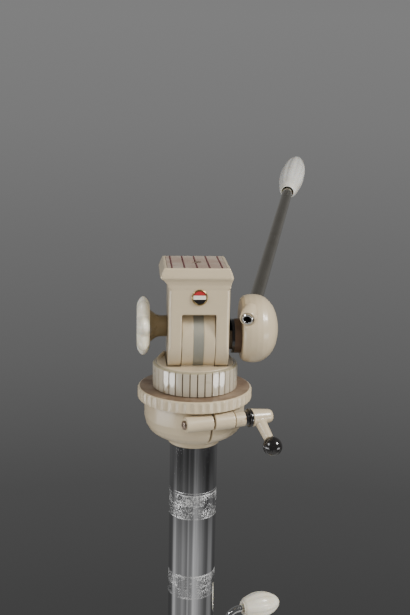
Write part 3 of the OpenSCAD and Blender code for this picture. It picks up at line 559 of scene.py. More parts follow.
class Finishes:
    """Every finish of the tripod, made once."""

    def __init__(self, layout: Layout) -> None:
        """Makes the finishes.

        Args:
            layout: Gives the frames that the streaks and the scuffs follow.
        """
        top = layout.head().point().z
        # Grime colour of the castings; in the enamel's corners it also serves as painted shade.
        grime_and_shade = (0.17, 0.125, 0.08)
        self.enamel = Enamel("enamel", (0.555, 0.458, 0.31), (0.34, 0.24, 0.15), grime_and_shade).material()
        self.ring_enamel = Enamel("ring_enamel", (0.52, 0.455, 0.345), (0.34, 0.26, 0.16), grime_and_shade,
                                  roughness=0.3, grain=0.05, coat=1.0, coat_roughness=0.07,
                                  coat_index=2.0).material()
        self.ring_edge = Enamel("ring_edge", (0.33, 0.285, 0.185), (0.30, 0.22, 0.13),
                                (0.14, 0.10, 0.06)).material()
        self.leg_enamel = Enamel("leg_enamel", (0.40, 0.36, 0.29), (0.5, 0.48, 0.44), (0.14, 0.11, 0.08),
                                 roughness=0.42).material()
        self.flange_top = Plastic("rubbed_primer", (0.15, 0.095, 0.055), (0.25, 0.18, 0.12),
                                  (0.07, 0.045, 0.03), roughness=0.42, coat=0.25).material()
        # Dark colour used as painted shade: in the ring's grooves, the bush's mouth gap, on the shaded cheek
        # washer and on the camera screw's sunk tip.
        self.groove = Plastic("groove_painted_shade", (0.075, 0.05, 0.03), (0.12, 0.09, 0.06), (0.04, 0.03, 0.02),
                              roughness=0.7).material()
        self.bone = Plastic("bone_grip", (0.64, 0.63, 0.59), (0.58, 0.55, 0.47), (0.30, 0.26, 0.19),
                            roughness=0.28, coat=0.45, glow=0.1).material()
        self.ivory = Plastic("ivory", (0.84, 0.80, 0.68), (0.78, 0.72, 0.56), (0.38, 0.31, 0.20),
                             roughness=0.28, coat=0.45, glow=0.12).material()
        self.hub_brass = Plastic("dull_brass", (0.165, 0.12, 0.06), (0.11, 0.078, 0.04), (0.05, 0.035, 0.02),
                                 roughness=0.34, coat=0.3).material()
        self.black = Plastic("black_phenolic", (0.010, 0.009, 0.009), (0.014, 0.012, 0.011),
                             (0.022, 0.02, 0.018), roughness=0.12, coat=0.6).material()
        self.fibre = Plastic("brown_fibre", (0.075, 0.045, 0.03), (0.11, 0.065, 0.04), (0.03, 0.02, 0.015),
                             roughness=0.5).material()
        self.pad = Plastic("rosy_pad", (0.30, 0.22, 0.175), (0.37, 0.31, 0.25), (0.12, 0.08, 0.06),
                           roughness=0.7).material()
        self.strip = Plastic("dark_strip", (0.085, 0.022, 0.024), (0.12, 0.04, 0.04), (0.05, 0.02, 0.02),
                             roughness=0.6).material()
        self.band = Plastic("slate_band", (0.205, 0.20, 0.165), (0.26, 0.25, 0.20), (0.12, 0.10, 0.07),
                            roughness=0.55).material()
        self.rubber = Plastic("foot_rubber", (0.025, 0.024, 0.023), (0.04, 0.038, 0.036), (0.12, 0.11, 0.10),
                              roughness=0.8).material()
        self.red = Plastic("red_enamel", (0.42, 0.03, 0.03), (0.36, 0.03, 0.03), (0.1, 0.02, 0.02),
                           roughness=0.2, coat=0.6).material()
        self.bush = Plastic("pale_bush", (0.55, 0.53, 0.48), (0.50, 0.46, 0.38), (0.2, 0.17, 0.12),
                            roughness=0.5).material()
        self.steel = Metal("plain_steel", (0.52, 0.51, 0.49), (0.28, 0.22, 0.16), 0.32).material()
        self.chrome = Metal("bright_chrome", (0.72, 0.72, 0.72), (0.45, 0.42, 0.38), 0.1,
                            stained=0.2).material()
        self.rod = Metal("rod_steel", (0.50, 0.47, 0.41), (0.36, 0.32, 0.24), 0.17, (1.0, 1.0, 0.02),
                         layout.handle(), 0.35).material()
        self.worn = Metal("worn_alloy", (0.42, 0.33, 0.27), (0.24, 0.16, 0.11), 0.45, stained=0.7).material()
        self.brass = Metal("old_brass", (0.60, 0.44, 0.20), (0.26, 0.17, 0.08), 0.3, stained=0.5).material()
        self.column = ScuffedChrome("column_chrome", (0.75, 0.75, 0.76), (0.62, 0.62, 0.61),
                                    ((101, 11, 0.9), (94, 6, 0.5), (174, 11, 0.85), (169, 5, 0.5)),
                                    top).material()


class Workshop:
    """Makes meshes and turns them into named pieces that ride on the tripod's bodies."""

    def __init__(self, layout: Layout) -> None:
        """Makes the finishes."""
        self.finishes = Finishes(layout)
        self.made: list[str] = []

    def piece(self, name: str, mesh: Mesh, place: Place, node: str, material: Material,
              extra: Sequence[Material] = (), angle: float = 40.0) -> None:
        """Finishes a mesh as a piece that stands for a CAD node.

        Args:
            name: Piece's name.
            mesh: Geometry in millimetres in its place's frame.
            place: Frame of the geometry.
            node: CAD node that it stands for, which gives its body.
            material: Its finish.
            extra: Further finishes, for faces with a higher material index.
            angle: Edges sharper than this many degrees stay crisp.
        """
        bmesh.ops.remove_doubles(mesh, verts=mesh.verts, dist=0.001)
        bmesh.ops.recalc_face_normals(mesh, faces=mesh.faces)
        mesh.transform(place.matrix)
        for face in mesh.faces:
            face.smooth = True
        for edge in mesh.edges:
            edge.smooth = len(edge.link_faces) < 2 or edge.calc_face_angle(0.0) < radians(angle)
        data = bpy.data.meshes.new(name)
        mesh.to_mesh(data)
        mesh.free()
        made = bpy.data.objects.new(name, data)
        bpy.context.scene.collection.objects.link(made)
        for finish in (material, *extra):
            data.materials.append(finish)
        self.settle(made, node)

    def soften(self, node: str, voxel: float, rounds: int, keep: float = 0.35) -> None:
        """Recasts a CAD solid in enamel, with the small rounded edges of a casting.

        Args:
            node: CAD node whose solid is recast.
            voxel: Grain of the recast mesh in millimetres.
            rounds: Smoothing passes; more give rounder edges.
            keep: Share of the faces that is kept.
        """
        made = bpy.data.objects.new(node + "_soft", frame["nodes"][node].data.copy())
        bpy.context.scene.collection.objects.link(made)
        remesh = made.modifiers.new("recast", "REMESH")
        remesh.mode = "VOXEL"
        remesh.voxel_size = voxel * MM
        smooth = made.modifiers.new("soften", "SMOOTH")
        smooth.factor = 0.5
        smooth.iterations = rounds
        thin = made.modifiers.new("thin", "DECIMATE")
        thin.ratio = keep
        graph = bpy.context.evaluated_depsgraph_get()
        data = bpy.data.meshes.new_from_object(made.evaluated_get(graph))
        made.modifiers.clear()
        made.data = data
        data.materials.clear()
        data.materials.append(self.finishes.enamel)
        data.shade_smooth()
        self.settle(made, node)

    def settle(self, made: bpy.types.Object, node: str) -> None:
        """Lets a piece ride with the CAD node that it stands for, and hides the node.

        Args:
            made: The piece.
            node: CAD node that it stands for.
        """
        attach(made, body_of(frame["nodes"][node])[0])
        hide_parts(node)
        self.made.append(made.name)

    def dress(self, material: Material, *nodes: str) -> None:
        """Gives CAD nodes that keep their mesh a better finish.

        Args:
            material: The finish.
            nodes: Names of the CAD nodes.
        """
        for node in nodes:
            data = frame["nodes"][node].data
            data.materials.clear()
            data.materials.append(material)
            self.made.append(node)

    def take(self) -> str:
        """Names of the pieces made since the last call."""
        names, self.made = ", ".join(self.made), []
        return names


def revolve(profile: Profile, segments: int = 96, shape: Shape | None = None,
            mesh: Mesh | None = None) -> Mesh:
    """Turns a profile about Z.

    Args:
        profile: Radii and heights, in order; a radius of 0 closes the end.
        segments: Steps round the axis.
        shape: Changes a radius, given the radius, height and angle.
        mesh: Mesh to add to, or None for a new one.

    Returns:
        The mesh.
    """
    mesh = mesh or bmesh.new()
    rings = []
    for radius, height in profile:
        if radius <= 0:
            rings.append([mesh.verts.new((0, 0, height))])
            continue
        ring = []
        for step in range(segments):
            angle = step * tau / segments
            r = shape(radius, height, angle) if shape else radius
            ring.append(mesh.verts.new((r * cos(angle), r * sin(angle), height)))
        rings.append(ring)
    for low, high in zip(rings, rings[1:]):
        for step in range(segments):
            after = (step + 1) % segments
            if len(low) == 1:
                mesh.faces.new((low[0], high[after], high[step]))
            elif len(high) == 1:
                mesh.faces.new((low[step], low[after], high[0]))
            else:
                mesh.faces.new((low[step], low[after], high[after], high[step]))
    return mesh


def close_ring(profile: Profile) -> Profile:
    """The profile with its first point again at the end, for a hollow ring."""
    return [*profile, profile[0]]


def tube(radius: float, wall: float, low: float, high: float, edge: float = 0.3) -> Profile:
    """Profile of a tube from low to high, with a small chamfer on its outer edges."""
    return close_ring([(radius - wall, low), (radius - edge, low), (radius, low + edge),
                       (radius, high - edge), (radius - edge, high), (radius - wall, high)])


def smooth_profile(points: Profile, steps: int) -> Profile:
    """A rounder profile through the given points.

    Args:
        points: Radii and heights in order.
        steps: Points per stretch.

    Returns:
        The points of a Catmull-Rom curve.
    """
    ends = [points[0], *points, points[-1]]
    out = []
    for a, b, c, d in zip(ends, ends[1:], ends[2:], ends[3:]):
        for k in range(steps):
            t = k / steps
            out.append(tuple(
                0.5 * (2 * b[i] + (c[i] - a[i]) * t + (2 * a[i] - 5 * b[i] + 4 * c[i] - d[i]) * t * t
                       + (3 * b[i] - a[i] - 3 * c[i] + d[i]) * t ** 3) for i in (0, 1)))
    return [*out, points[-1]]


def sweep(points: Sequence[Vector], radius: float, segments: int = 32) -> Mesh:
    """A round rod along points in one plane.

    Args:
        points: Middle line.
        radius: Rod's radius.
        segments: Steps round the rod.

    Returns:
        The rod, closed at both ends.
    """
    mesh = bmesh.new()
    rings = []
    turns = [(cos(k * tau / segments), sin(k * tau / segments)) for k in range(segments)]
    side = (points[1] - points[0]).cross(points[-1] - points[0]).normalized()
    for index, point in enumerate(points):
        ahead = (points[min(index + 1, len(points) - 1)] - points[max(index - 1, 0)]).normalized()
        across = ahead.cross(side).normalized()
        rings.append([mesh.verts.new(point + radius * (a * side + b * across)) for a, b in turns])
    for low, high in zip(rings, rings[1:]):
        for k in range(segments):
            after = (k + 1) % segments
            mesh.faces.new((low[k], low[after], high[after], high[k]))
    mesh.faces.new(rings[0])
    mesh.faces.new(list(reversed(rings[-1])))
    return mesh


def lobes(count: int, valley: float, outer: float) -> Shape:
    """Outline of a lobed knob.

    Args:
        count: Lobes round the knob.
        valley: Radius between the lobes.
        outer: Radius at their tips.

    Returns:
        A shape for revolve.
    """
    def shape(radius: float, height: float, angle: float) -> float:
        """Radius of the outline at an angle, scaled with the profile's radius."""
        wave = 0.5 + 0.5 * cos(count * angle)
        return radius * (valley + (outer - valley) * wave ** 0.72) / outer
    return shape


def flutes(count: int, depth: float, start: float, end: float) -> Shape:
    """Shallow flutes along a grip.

    Args:
        count: Flutes round the grip.
        depth: Depth in millimetres at the middle of the grip.
        start: Height where they begin.
        end: Height where they end.

    Returns:
        A shape for revolve.
    """
    def shape(radius: float, height: float, angle: float) -> float:
        """Radius lowered between the ridges.

        Args:
            radius: Profile's radius.
            height: Height along the axis.
            angle: Angle round it.

        Returns:
            The radius with its flutes.
        """
        share = min(max((height - start) / (end - start), 0.0), 1.0)
        fade = sin(pi * share) ** 0.6
        valley = abs(cos(count * angle / 2)) ** 4
        return radius - depth * fade * valley
    return shape


@dataclass
class HandKnob:
    """A lobed ivory knob on an axis."""

    radius: float
    thick: float
    count: int
    bore: float = 3.0

    def mesh(self) -> Mesh:
        """The knob from its back at Z = 0 to its dished front.

        Returns:
            The knob, in millimetres.
        """
        r, t = self.radius, self.thick
        profile = [
            (self.bore, 0.0), (r * 0.62, 0.0), (r * 0.74, t * 0.03), (r * 0.88, t * 0.16),
            (r * 0.965, t * 0.32), (r, t * 0.5), (r * 0.965, t * 0.68), (r * 0.88, t * 0.84),
            (r * 0.76, t * 0.96), (r * 0.64, t), (r * 0.5, t * 0.97), (r * 0.38, t * 0.88),
            (r * 0.3, t * 0.86), (r * 0.22, t * 0.9), (r * 0.16, t * 0.92), (self.bore, t * 0.92),
        ]
        shape = lobes(self.count, r * 0.79, r)

        def lobed(radius: float, height: float, angle: float) -> float:
            """Lobes that fade towards the middle of the knob."""
            fade = min(max((radius / r - 0.3) / 0.5, 0.0), 1.0)
            return radius + (shape(radius, height, angle) - radius) * fade
        return revolve(close_ring(smooth_profile(profile, 3)), self.count * 22, lobed)


@dataclass
class HandGrip:
    """A bud-shaped ivory grip with shallow flutes."""

    length: float
    radius: float
    mouth: float
    bore: float
    count: int = 9
    depth: float = 0.7

    def mesh(self) -> Mesh:
        """The grip from its mouth at Z = 0 to its nose.

        Returns:
            The grip, in millimetres.
        """
        n, r, m = self.length, self.radius, self.mouth
        profile = [
            (self.bore, n * 0.12), (self.bore + 0.4, n * 0.03), (m - 1.3, 0.0), (m - 0.3, n * 0.006),
            (m, n * 0.02), (m + (r - m) * 0.32, n * 0.07), (r * 0.86, n * 0.2), (r * 0.96, n * 0.32),
            (r, n * 0.45), (r * 0.968, n * 0.57), (r * 0.865, n * 0.7), (r * 0.685, n * 0.82),
            (r * 0.49, n * 0.905), (r * 0.27, n * 0.965), (0.0, n),
        ]
        fluted = flutes(self.count, self.depth, n * 0.05, n * 0.97)
        return revolve(smooth_profile(profile, 4), self.count * 12, fluted)


@dataclass
class Column:
    """Chromed centre column with its rack and end cap."""

    radius: float = 20.0
    wall: float = 2.0
    seat: float = 29.0
    length: float = 470.0

    def build(self, shop: Workshop, layout: Layout) -> None:
        """Makes the column's pieces.

        Args:
            shop: Workshop that makes the pieces.
            layout: Frames of the sub-assemblies.
        """
        finishes = shop.finishes
        profile = tube(self.radius, self.wall, -self.seat - self.length, -self.seat, 0.4)
        shop.piece("column_chrome_tube", revolve(profile, 128), layout.base(), "column_tube",
                   finishes.column)
        shop.dress(finishes.steel, "gear_rack")
        shop.dress(finishes.black, "column_end_cap")


@dataclass
class PanSeat:
    """Clamp bowl, fluted flange and the lever that locks the pan."""

    flange_r: float = 47.0
    flange_h: float = 9.6
    flute_count: int = 48
    flute_depth: float = 0.8
    neck_r: float = 20.0
    lever_throw: float = 27.7
    lever_lean: float = 51.0
    lever_at: float = 42.6
    ball_r: float = 7.8
    barrel_left: float = 23.2
    bolt_end: float = 44.0
    washer_at: float = 30.2

    def build(self, shop: Workshop, layout: Layout) -> None:
        """Makes the pan seat's pieces.

        Args:
            shop: Workshop that makes the pieces.
            layout: Frames of the sub-assemblies.
        """
        finishes = shop.finishes
        shop.soften("bowl_clamp", 0.42, 2, 0.3)
        self.flange(shop, layout)
        shop.dress(finishes.steel, "pan_spindle")
        shop.dress(finishes.enamel, "clamp_sleeve")
        self.bolt(shop, layout)
        self.lever(shop, layout)

    def flange(self, shop: Workshop, layout: Layout) -> None:
        """The wide ring: scalloped edge and worn top.

        Args:
            shop: Workshop that makes the pieces.
            layout: Frames of the sub-assemblies.
        """
        r, h = self.flange_r, self.flange_h

        def scallop(radius: float, height: float, angle: float) -> float:
            """Scallops that run out at the ring's chamfers.

            Args:
                radius: Profile's radius.
                height: Height along the axis; not used.
                angle: Angle round it.

            Returns:
                The radius with its scallops.
            """
            if radius < r - 3:
                return radius
            groove = r - self.flute_depth * abs(cos(self.flute_count * angle / 2)) ** 1.5
            return min(radius, groove)

        profile = close_ring([
            (self.neck_r + 0.1, -h), (r - 1.4, -h), (r - 0.5, -h + 0.35), (r, -h + 1.1), (r, -h + 3.2),
            (r, -3.2), (r, -1.4), (r - 0.5, -0.7), (r - 1.65, -0.05), (r - 1.9, 0.0), (r - 6, 0.0),
            (self.neck_r + 0.1, 0.0),
        ])
        mesh = revolve(profile, self.flute_count * 8, scallop)
        for face in mesh.faces:
            face.material_index = 1 if face.calc_center_median().z > -0.15 else 0
        shop.piece("fluted_flange", mesh, layout.head(), "flange_ring", shop.finishes.enamel,
                   [shop.finishes.flange_top], 18)

    def bolt(self, shop: Workshop, layout: Layout) -> None:
        """Clamp bolt with a slotted head.

        Args:
            shop: Workshop that makes the pieces.
            layout: Frames of the sub-assemblies.
        """
        end = -self.barrel_left
        mesh = revolve([(0, end - 1.5), (1.2, end - 1.5), (1.5, end - 2.1), (2.6, end - 2.25),
                        (3.3, end - 1.8), (3.6, end - 1.2), (3.6, end - 0.4), (3.3, end - 0.12),
                        (2.6, end - 0.12), (2.6, self.bolt_end), (0, self.bolt_end)], 48)
        shop.piece("clamp_screw", mesh, layout.barrel(), "clamp_bolt", shop.finishes.worn)

    def lever(self, shop: Workshop, layout: Layout) -> None:
        """Washer, threaded neck, lever and ball.

        Args:
            shop: Workshop that makes the pieces.
            layout: Frames of the sub-assemblies.
        """
        finishes = shop.finishes
        at = self.washer_at
        washer = [(2.7, at - 3.6), (5.5, at - 3.6), (5.6, at - 3.3), (5.6, at - 0.1), (7.1, at),
                  (7.5, at + 0.3), (7.6, at + 0.7), (7.6, at + 1.8), (7.4, at + 2.2), (6.8, at + 2.4),
                  (2.7, at + 2.4)]
        mesh = revolve(close_ring(washer), 64)
        shop.piece("lever_ring", mesh, layout.barrel(), "lever_washer", finishes.black)
        shop.soften("clamp_lever", 0.4, 5, 0.5)
        place = layout.barrel().moved(z=self.lever_at).turned(-self.lever_lean, "Z").turned(90, "Y")
        place = place.moved(z=self.lever_throw)
        r = self.ball_r
        ball = [(r * sin(k * pi / 24), -r * cos(k * pi / 24)) for k in range(25)]
        ball[0], ball[-1] = (0.0, -r), (0.0, r)
        shop.piece("ball_knob", revolve(ball, 48), place, "lever_ball", finishes.black)


@dataclass
class TiltHead:
    """Knuckle, tension ring, tilting casting, platform and the tilt lock."""

    ring_r: float = 34.9
    ring_h: float = 20.1
    ring_gap: float = 0.3
    flats: int = 36
    groove: float = 1.05
    bore_r: float = 31.9
    knob_r: float = 24.4
    knob_t: float = 10.6
    knob_at: float = 37.4
    lock_rise: float = 8.3
    hub_r: float = 12.6
    hub_neck_r: float = 8.6
    hub_len: float = 13.9
    hub_bore: float = 3.0
    nut_r: float = 9.0
    nut_len: float = 3.5
    nut_bore: float = 3.05
    nut_shift: float = 0.5
    badge_r: float = 6.3
    badge_z: float = 79.5
    front_y: float = -26.2
    neck_shift: float = 1.0
    cheek_right: float = 25.2
    wheel_r: float = 17.0
    wheel_z: float = 74.0
    wheel_h: float = 7.0
    wheel_ridges: int = 60
    screw_r: float = 4.76
    screw_root: float = 4.1
    screw_pitch: float = 1.5875
    screw_tip: float = 101.8

    def build(self, shop: Workshop, layout: Layout) -> None:
        """Makes the tilt head's pieces.

        Args:
            shop: Workshop that makes the pieces.
            layout: Frames of the sub-assemblies.
        """
        finishes = shop.finishes
        shop.soften("tilt_knuckle", 0.5, 4)
        shop.soften("yoke_casting", 0.55, 9)
        shop.dress(finishes.band, "brake_band")
        shop.dress(finishes.pad, "platform_pad")
        shop.dress(finishes.strip, "grip_strips")
        # The cheek washer sits in the yoke's shadow and takes the dark groove colour: painted shade.
        shop.dress(finishes.groove, "cheek_washer")
        shop.dress(finishes.black, "black_friction_disc")
        shop.dress(finishes.fibre, "fibre_friction_disc")
        shop.dress(finishes.steel, "tilt_shaft", "tilt_lock_screw")
        self.tension(shop, layout)
        self.badge(shop, layout)
        self.lock(shop, layout)
        self.camera_screw(shop, layout)

    def tension(self, shop: Workshop, layout: Layout) -> None:
        """Ring of flats with a narrow groove between each two.

        Args:
            shop: Workshop that makes the pieces.
            layout: Frames of the sub-assemblies.
        """
        r, z0, h = self.ring_r, self.ring_gap, self.ring_h
        step = tau / self.flats

        def faceted(radius: float, height: float, angle: float) -> float:
            """Radius of a flat or of the groove beside it.

            Args:
                radius: Profile's radius.
                height: Height along the axis; not used.
                angle: Angle round it.

            Returns:
                The radius with its flats and grooves.
            """
            if radius < self.bore_r + 0.5:
                return radius
            off = abs((angle / step) % 1.0 - 0.5) * 2
            flat = r * cos(step / 2) / cos(off * step / 2)
            groove = flat - self.groove * min(max((off - 0.8) / 0.12, 0.0), 1.0)
            return min(radius, groove)

        profile = close_ring([
            (self.bore_r, z0), (r - 0.8, z0), (r - 0.2, z0 + 0.25), (r, z0 + 0.7), (r, z0 + h - 2.2),
            (r - 0.25, z0 + h - 1.2), (r - 0.8, z0 + h - 0.5), (r - 1.5, z0 + h - 0.1), (r - 2.1, z0 + h),
            (self.bore_r, z0 + h),
        ])
        mesh = revolve(profile, self.flats * 20, faceted)
        # Groove faces between the flats, and the hidden underside, take the dark groove colour: painted shade
        # in the grooves.
        for face in mesh.faces:
            middle = face.calc_center_median()
            radius = hypot(middle.x, middle.y)
            if radius > self.bore_r + 0.6 and middle.z > z0 + h - 1.5:
                face.material_index = 2
            elif self.bore_r + 0.6 < radius < r - 0.75:
                face.material_index = 1
        shop.piece("faceted_ring", mesh, layout.head(), "tension_ring", shop.finishes.ring_enamel,
                   [shop.finishes.groove, shop.finishes.ring_edge], 20)

    def badge(self, shop: Workshop, layout: Layout) -> None:
        """Round medallion: brass rim around three plain enamel bands.

        Args:
            shop: Workshop that makes the pieces.
            layout: Frames of the sub-assemblies.
        """
        r = self.badge_r
        place = layout.head().moved(self.neck_shift, self.front_y, self.badge_z).turned(90, "X")
        mesh = revolve([(0, 0), (r - 0.3, 0), (r, 0.3), (r, 0.75), (r - 0.35, 1.1), (r - 0.9, 1.1),
                        (r - 1.1, 0.8), (r - 1.15, 0.5), (0, 0.5)], 64)
        shop.piece("medallion_rim", mesh, place, "front_badge", shop.finishes.brass)
        inner = r - 1.2
        bands = ((-inner, -1.7, shop.finishes.black, Slot.BLACK),
                 (-1.6, 1.6, shop.finishes.ivory, Slot.IVORY),
                 (1.7, inner, shop.finishes.red, Slot.BLACK))
        for index, (low, high, finish, slot) in enumerate(bands):
            shop.piece("medallion_band_%d" % index, self.band(inner, low, high), place, "front_badge",
                       finish)

    def band(self, radius: float, low: float, high: float) -> Mesh:
        """A slice of a disc.

        Args:
            radius: Disc's radius.
            low: Lower edge of the slice.
            high: Upper edge of the slice.

        Returns:
            The slice, a low raised plate.
        """
        mesh = bmesh.new()
        rim = []
        for side in (1, -1):
            for k in range(13):
                y = low + (high - low) * (k if side > 0 else 12 - k) / 12
                rim.append((side * sqrt(max(radius ** 2 - y ** 2, 0.0)), y))
        before = [(radius, radius), *rim]
        rim = [at for at, last in zip(rim, before) if hypot(at[0] - last[0], at[1] - last[1]) > 1e-6]
        bottom = [mesh.verts.new((x, y, 0.5)) for x, y in rim]
        top = [mesh.verts.new((x * 0.985, low + 0.05 + (y - low) * 0.97, 0.85)) for x, y in rim]
        mesh.faces.new(top)
        mesh.faces.new(list(reversed(bottom)))
        for k in range(len(rim)):
            after = (k + 1) % len(rim)
            mesh.faces.new((bottom[k], bottom[after], top[after], top[k]))
        return mesh

    def lock(self, shop: Workshop, layout: Layout) -> None:
        """Lobed knob, its hub and the nut at the far end.

        Args:
            shop: Workshop that makes the pieces.
            layout: Frames of the sub-assemblies.
        """
        finishes = shop.finishes
        axis = layout.tilt().moved(x=-self.lock_rise)
        knob = HandKnob(self.knob_r, self.knob_t, count=7)
        shop.piece("tilt_lock_wheel", knob.mesh(), axis.moved(z=-self.knob_at).turned(180, "X"),
                   "tilt_lock_knob", finishes.ivory)
        r, neck, end, bore = self.hub_r, self.hub_neck_r, self.hub_len, self.hub_bore
        hub = [(bore, 0), (r - 0.4, 0), (r, 0.35), (r - 0.1, 1.0), (r - 1.0, 2.0), (neck + 1.6, 3.8),
               (neck + 0.6, 5.8), (neck + 0.2, 7.4), (neck, 8.2), (neck, end - 0.5), (neck - 0.4, end),
               (bore, end)]
        shop.piece("tilt_lock_collar", revolve(close_ring(hub), 72), axis.moved(z=-self.knob_at),
                   "tilt_lock_hub", finishes.hub_brass)
        r, end, bore = self.nut_r, self.nut_len, self.nut_bore
        nut = [(0, end - 1.1), (bore, end - 1.1), (bore, 0), (r - 0.3, 0), (r, 0.3), (r - 0.1, 0.8),
               (r - 2.6, 2.2), (r - 4.1, end - 0.3), (r - 5.0, end), (0, end)]
        shop.piece("black_lock_nut", revolve(nut, 48), axis.moved(x=-self.nut_shift, z=self.cheek_right),
                   "lock_nut", finishes.black)

    def camera_screw(self, shop: Workshop, layout: Layout) -> None:
        """Threaded screw with a knurled finger wheel.

        Args:
            shop: Workshop that makes the pieces.
            layout: Frames of the sub-assemblies.
        """
        def knurl(radius: float, height: float, angle: float) -> float:
            """Fine ridges on the wheel's rim."""
            ridge = 0.5 * abs(sin(self.wheel_ridges / 2 * angle))
            return radius if radius < self.wheel_r - 0.5 else radius - ridge

        low, high, tip = self.wheel_z, self.wheel_z + self.wheel_h, self.screw_tip
        wheel, crest = self.wheel_r, self.screw_r
        profile = [(0, low), (wheel - 1.2, low), (wheel, low + 0.9), (wheel, high - 0.9), (wheel - 1.2, high),
                   (crest, high)]
        height = high + 0.5
        while height + self.screw_pitch < tip:
            profile += [(crest, height), (crest, height + 0.2), (self.screw_root, height + 0.8),
                        (crest, height + 1.4)]
            height += self.screw_pitch
        profile += [(4.3, tip - 0.4), (3.9, tip), (0, tip)]
        mesh = revolve(profile, 120, knurl)
        # The screw's top, sunk below the platform, is painted dark: painted shade of the hole.
        for face in mesh.faces:
            face.material_index = 1 if face.calc_center_median().z > tip - 4 else 0
        shop.piece("camera_thumb_screw", mesh, layout.top(), "camera_screw", shop.finishes.steel,
                   [shop.finishes.groove])


@dataclass
class PanHandle:
    """Domed hub, chrome bush, rod and grip of the pan handle."""

    bush_r: float = 4.6
    boss_r: float = 6.3
    hole_r: float = 2.9
    bush_end: float = 15.9
    rod_r: float = 5.65
    rod_end_r: float = 5.2
    rod_len: float = 256.0
    rod_in_grip: float = 50.0
    grip_len: float = 103.0
    grip_r: float = 13.0
    grip_mouth: float = 7.6
    grip_bore: float = 5.26

    def build(self, shop: Workshop, layout: Layout) -> None:
        """Makes the handle's pieces.

        Args:
            shop: Workshop that makes the pieces.
            layout: Frames of the sub-assemblies.
        """
        finishes = shop.finishes
        shop.soften("handle_hub", 0.5, 5, 0.5)
        hole, ring, boss = self.hole_r, self.bush_r, self.boss_r
        bush = [(0, 10.5), (hole, 10.5), (hole, -1.0), (hole + 0.4, -1.5), (ring - 0.5, -1.5), (ring, -1.0),
                (ring, 0.6), (ring + 0.5, 0.6), (ring + 0.6, -0.3), (boss - 0.3, -0.3), (boss, 0.1),
                (boss, 14), (ring, 14), (ring, self.bush_end), (0, self.bush_end)]
        mesh = revolve(bush, 64)
        # The bore's inside is painted black and the narrow step at the mouth takes the dark groove colour:
        # painted shade in the empty socket.
        for face in mesh.faces:
            middle = face.calc_center_median()
            radius = hypot(middle.x, middle.y)
            if radius < hole + 0.05 and middle.z < 10.6:
                face.material_index = 1
            elif radius > ring - 0.05 and middle.z < 14.1:
                face.material_index = 3 if middle.z > 0.5 and radius < ring + 0.6 and middle.z < 1 else 2
        shop.piece("socket_bush", mesh, layout.socket(), "handle_bush", finishes.chrome,
                   [finishes.black, finishes.enamel, finishes.groove])
        start, end, tip = self.rod_r, self.rod_end_r, self.rod_len + self.rod_in_grip
        rod = [(0, 0), (start - 0.4, 0), (start, 0.4), (start, 40), (end, self.rod_len + 4), (end, tip),
               (0, tip)]
        shop.piece("pan_rod", revolve(rod, 64), layout.handle(), "handle_rod", finishes.rod)
        grip = HandGrip(self.grip_len, self.grip_r, self.grip_mouth, self.grip_bore)
        shop.piece("pan_grip", grip.mesh(), layout.handle().moved(z=self.rod_len), "handle_grip",
                   finishes.bone)


@dataclass
class CrankDrive:
    """Pinion shaft, bent crank arm, its grip and the column lock."""

    pinion_y: float = 32.075
    reach: float = 48.5
    throw: float = 50.0
    bend: float = 12.0
    rod_r: float = 3.1
    grip_len: float = 38.0
    grip_r: float = 12.2
    grip_mouth: float = 7.0
    grip_bore: float = 3.2
    grip_rise: float = 15.5
    lock_end: float = 40.3
    knob_r: float = 20.4
    knob_t: float = 10.6
    collar_r: float = 9.0
    collar_h: float = 4.0
    collar_bore: float = 4.0

    def build(self, shop: Workshop, layout: Layout) -> None:
        """Makes the crank's and the column lock's pieces.

        Args:
            shop: Workshop that makes the pieces.
            layout: Frames of the sub-assemblies.
        """
        finishes = shop.finishes
        place = layout.crank(self.pinion_y)
        shop.dress(finishes.steel, "pinion_shaft")
        self.arm(shop, place)
        grip = HandGrip(self.grip_len, self.grip_r, self.grip_mouth, self.grip_bore, depth=0.6)
        mouth = place.moved(-self.throw, 0, self.reach + self.grip_rise)
        shop.piece("crank_hand_grip", grip.mesh(), mouth, "crank_grip", finishes.ivory)
        lock = layout.base().moved(z=-layout.crank_drop).turned(-90, "Y")
        shop.dress(finishes.steel, "column_lock_screw")
        bore, rim, top = self.collar_bore, self.collar_r, self.collar_h + 0.4
        mesh = HandKnob(self.knob_r, self.knob_t, 7, bore).mesh()
        mesh.transform(Matrix.Translation((0, 0, self.collar_h)))
        collar = [(bore, 0), (rim - 0.4, 0), (rim, 0.4), (rim, top), (bore, top)]
        revolve(close_ring(collar), 48, mesh=mesh)
        shop.piece("column_lock_wheel", mesh, lock.moved(z=self.lock_end), "column_lock_knob",
                   finishes.ivory)

    def arm(self, shop: Workshop, place: Place) -> None:
        """Bent rod with its boss on the shaft.

        Args:
            shop: Workshop that makes the pieces.
            place: Crank axis along +Z.
        """
        bend, z = self.bend, self.reach
        points = [Vector((0, 0, z)), Vector((-(self.throw - bend), 0, z))]
        for k in range(1, 16):
            a = k * pi / 32
            points.append(Vector((-(self.throw - bend) - bend * sin(a), 0, z + bend - bend * cos(a))))
        points.append(Vector((-self.throw, 0, z + bend)))
        points.append(Vector((-self.throw, 0, z + bend + self.grip_len - 2)))
        mesh = sweep(points, self.rod_r)
        boss = [(4, z - 8), (8.0, z - 8), (8.5, z - 7.5), (8.5, z + 5.4), (7.9, z + 6), (4, z + 6)]
        revolve(close_ring(boss), 64, mesh=mesh)
        shop.piece("crank_rod", mesh, place, "crank_arm", shop.finishes.chrome)


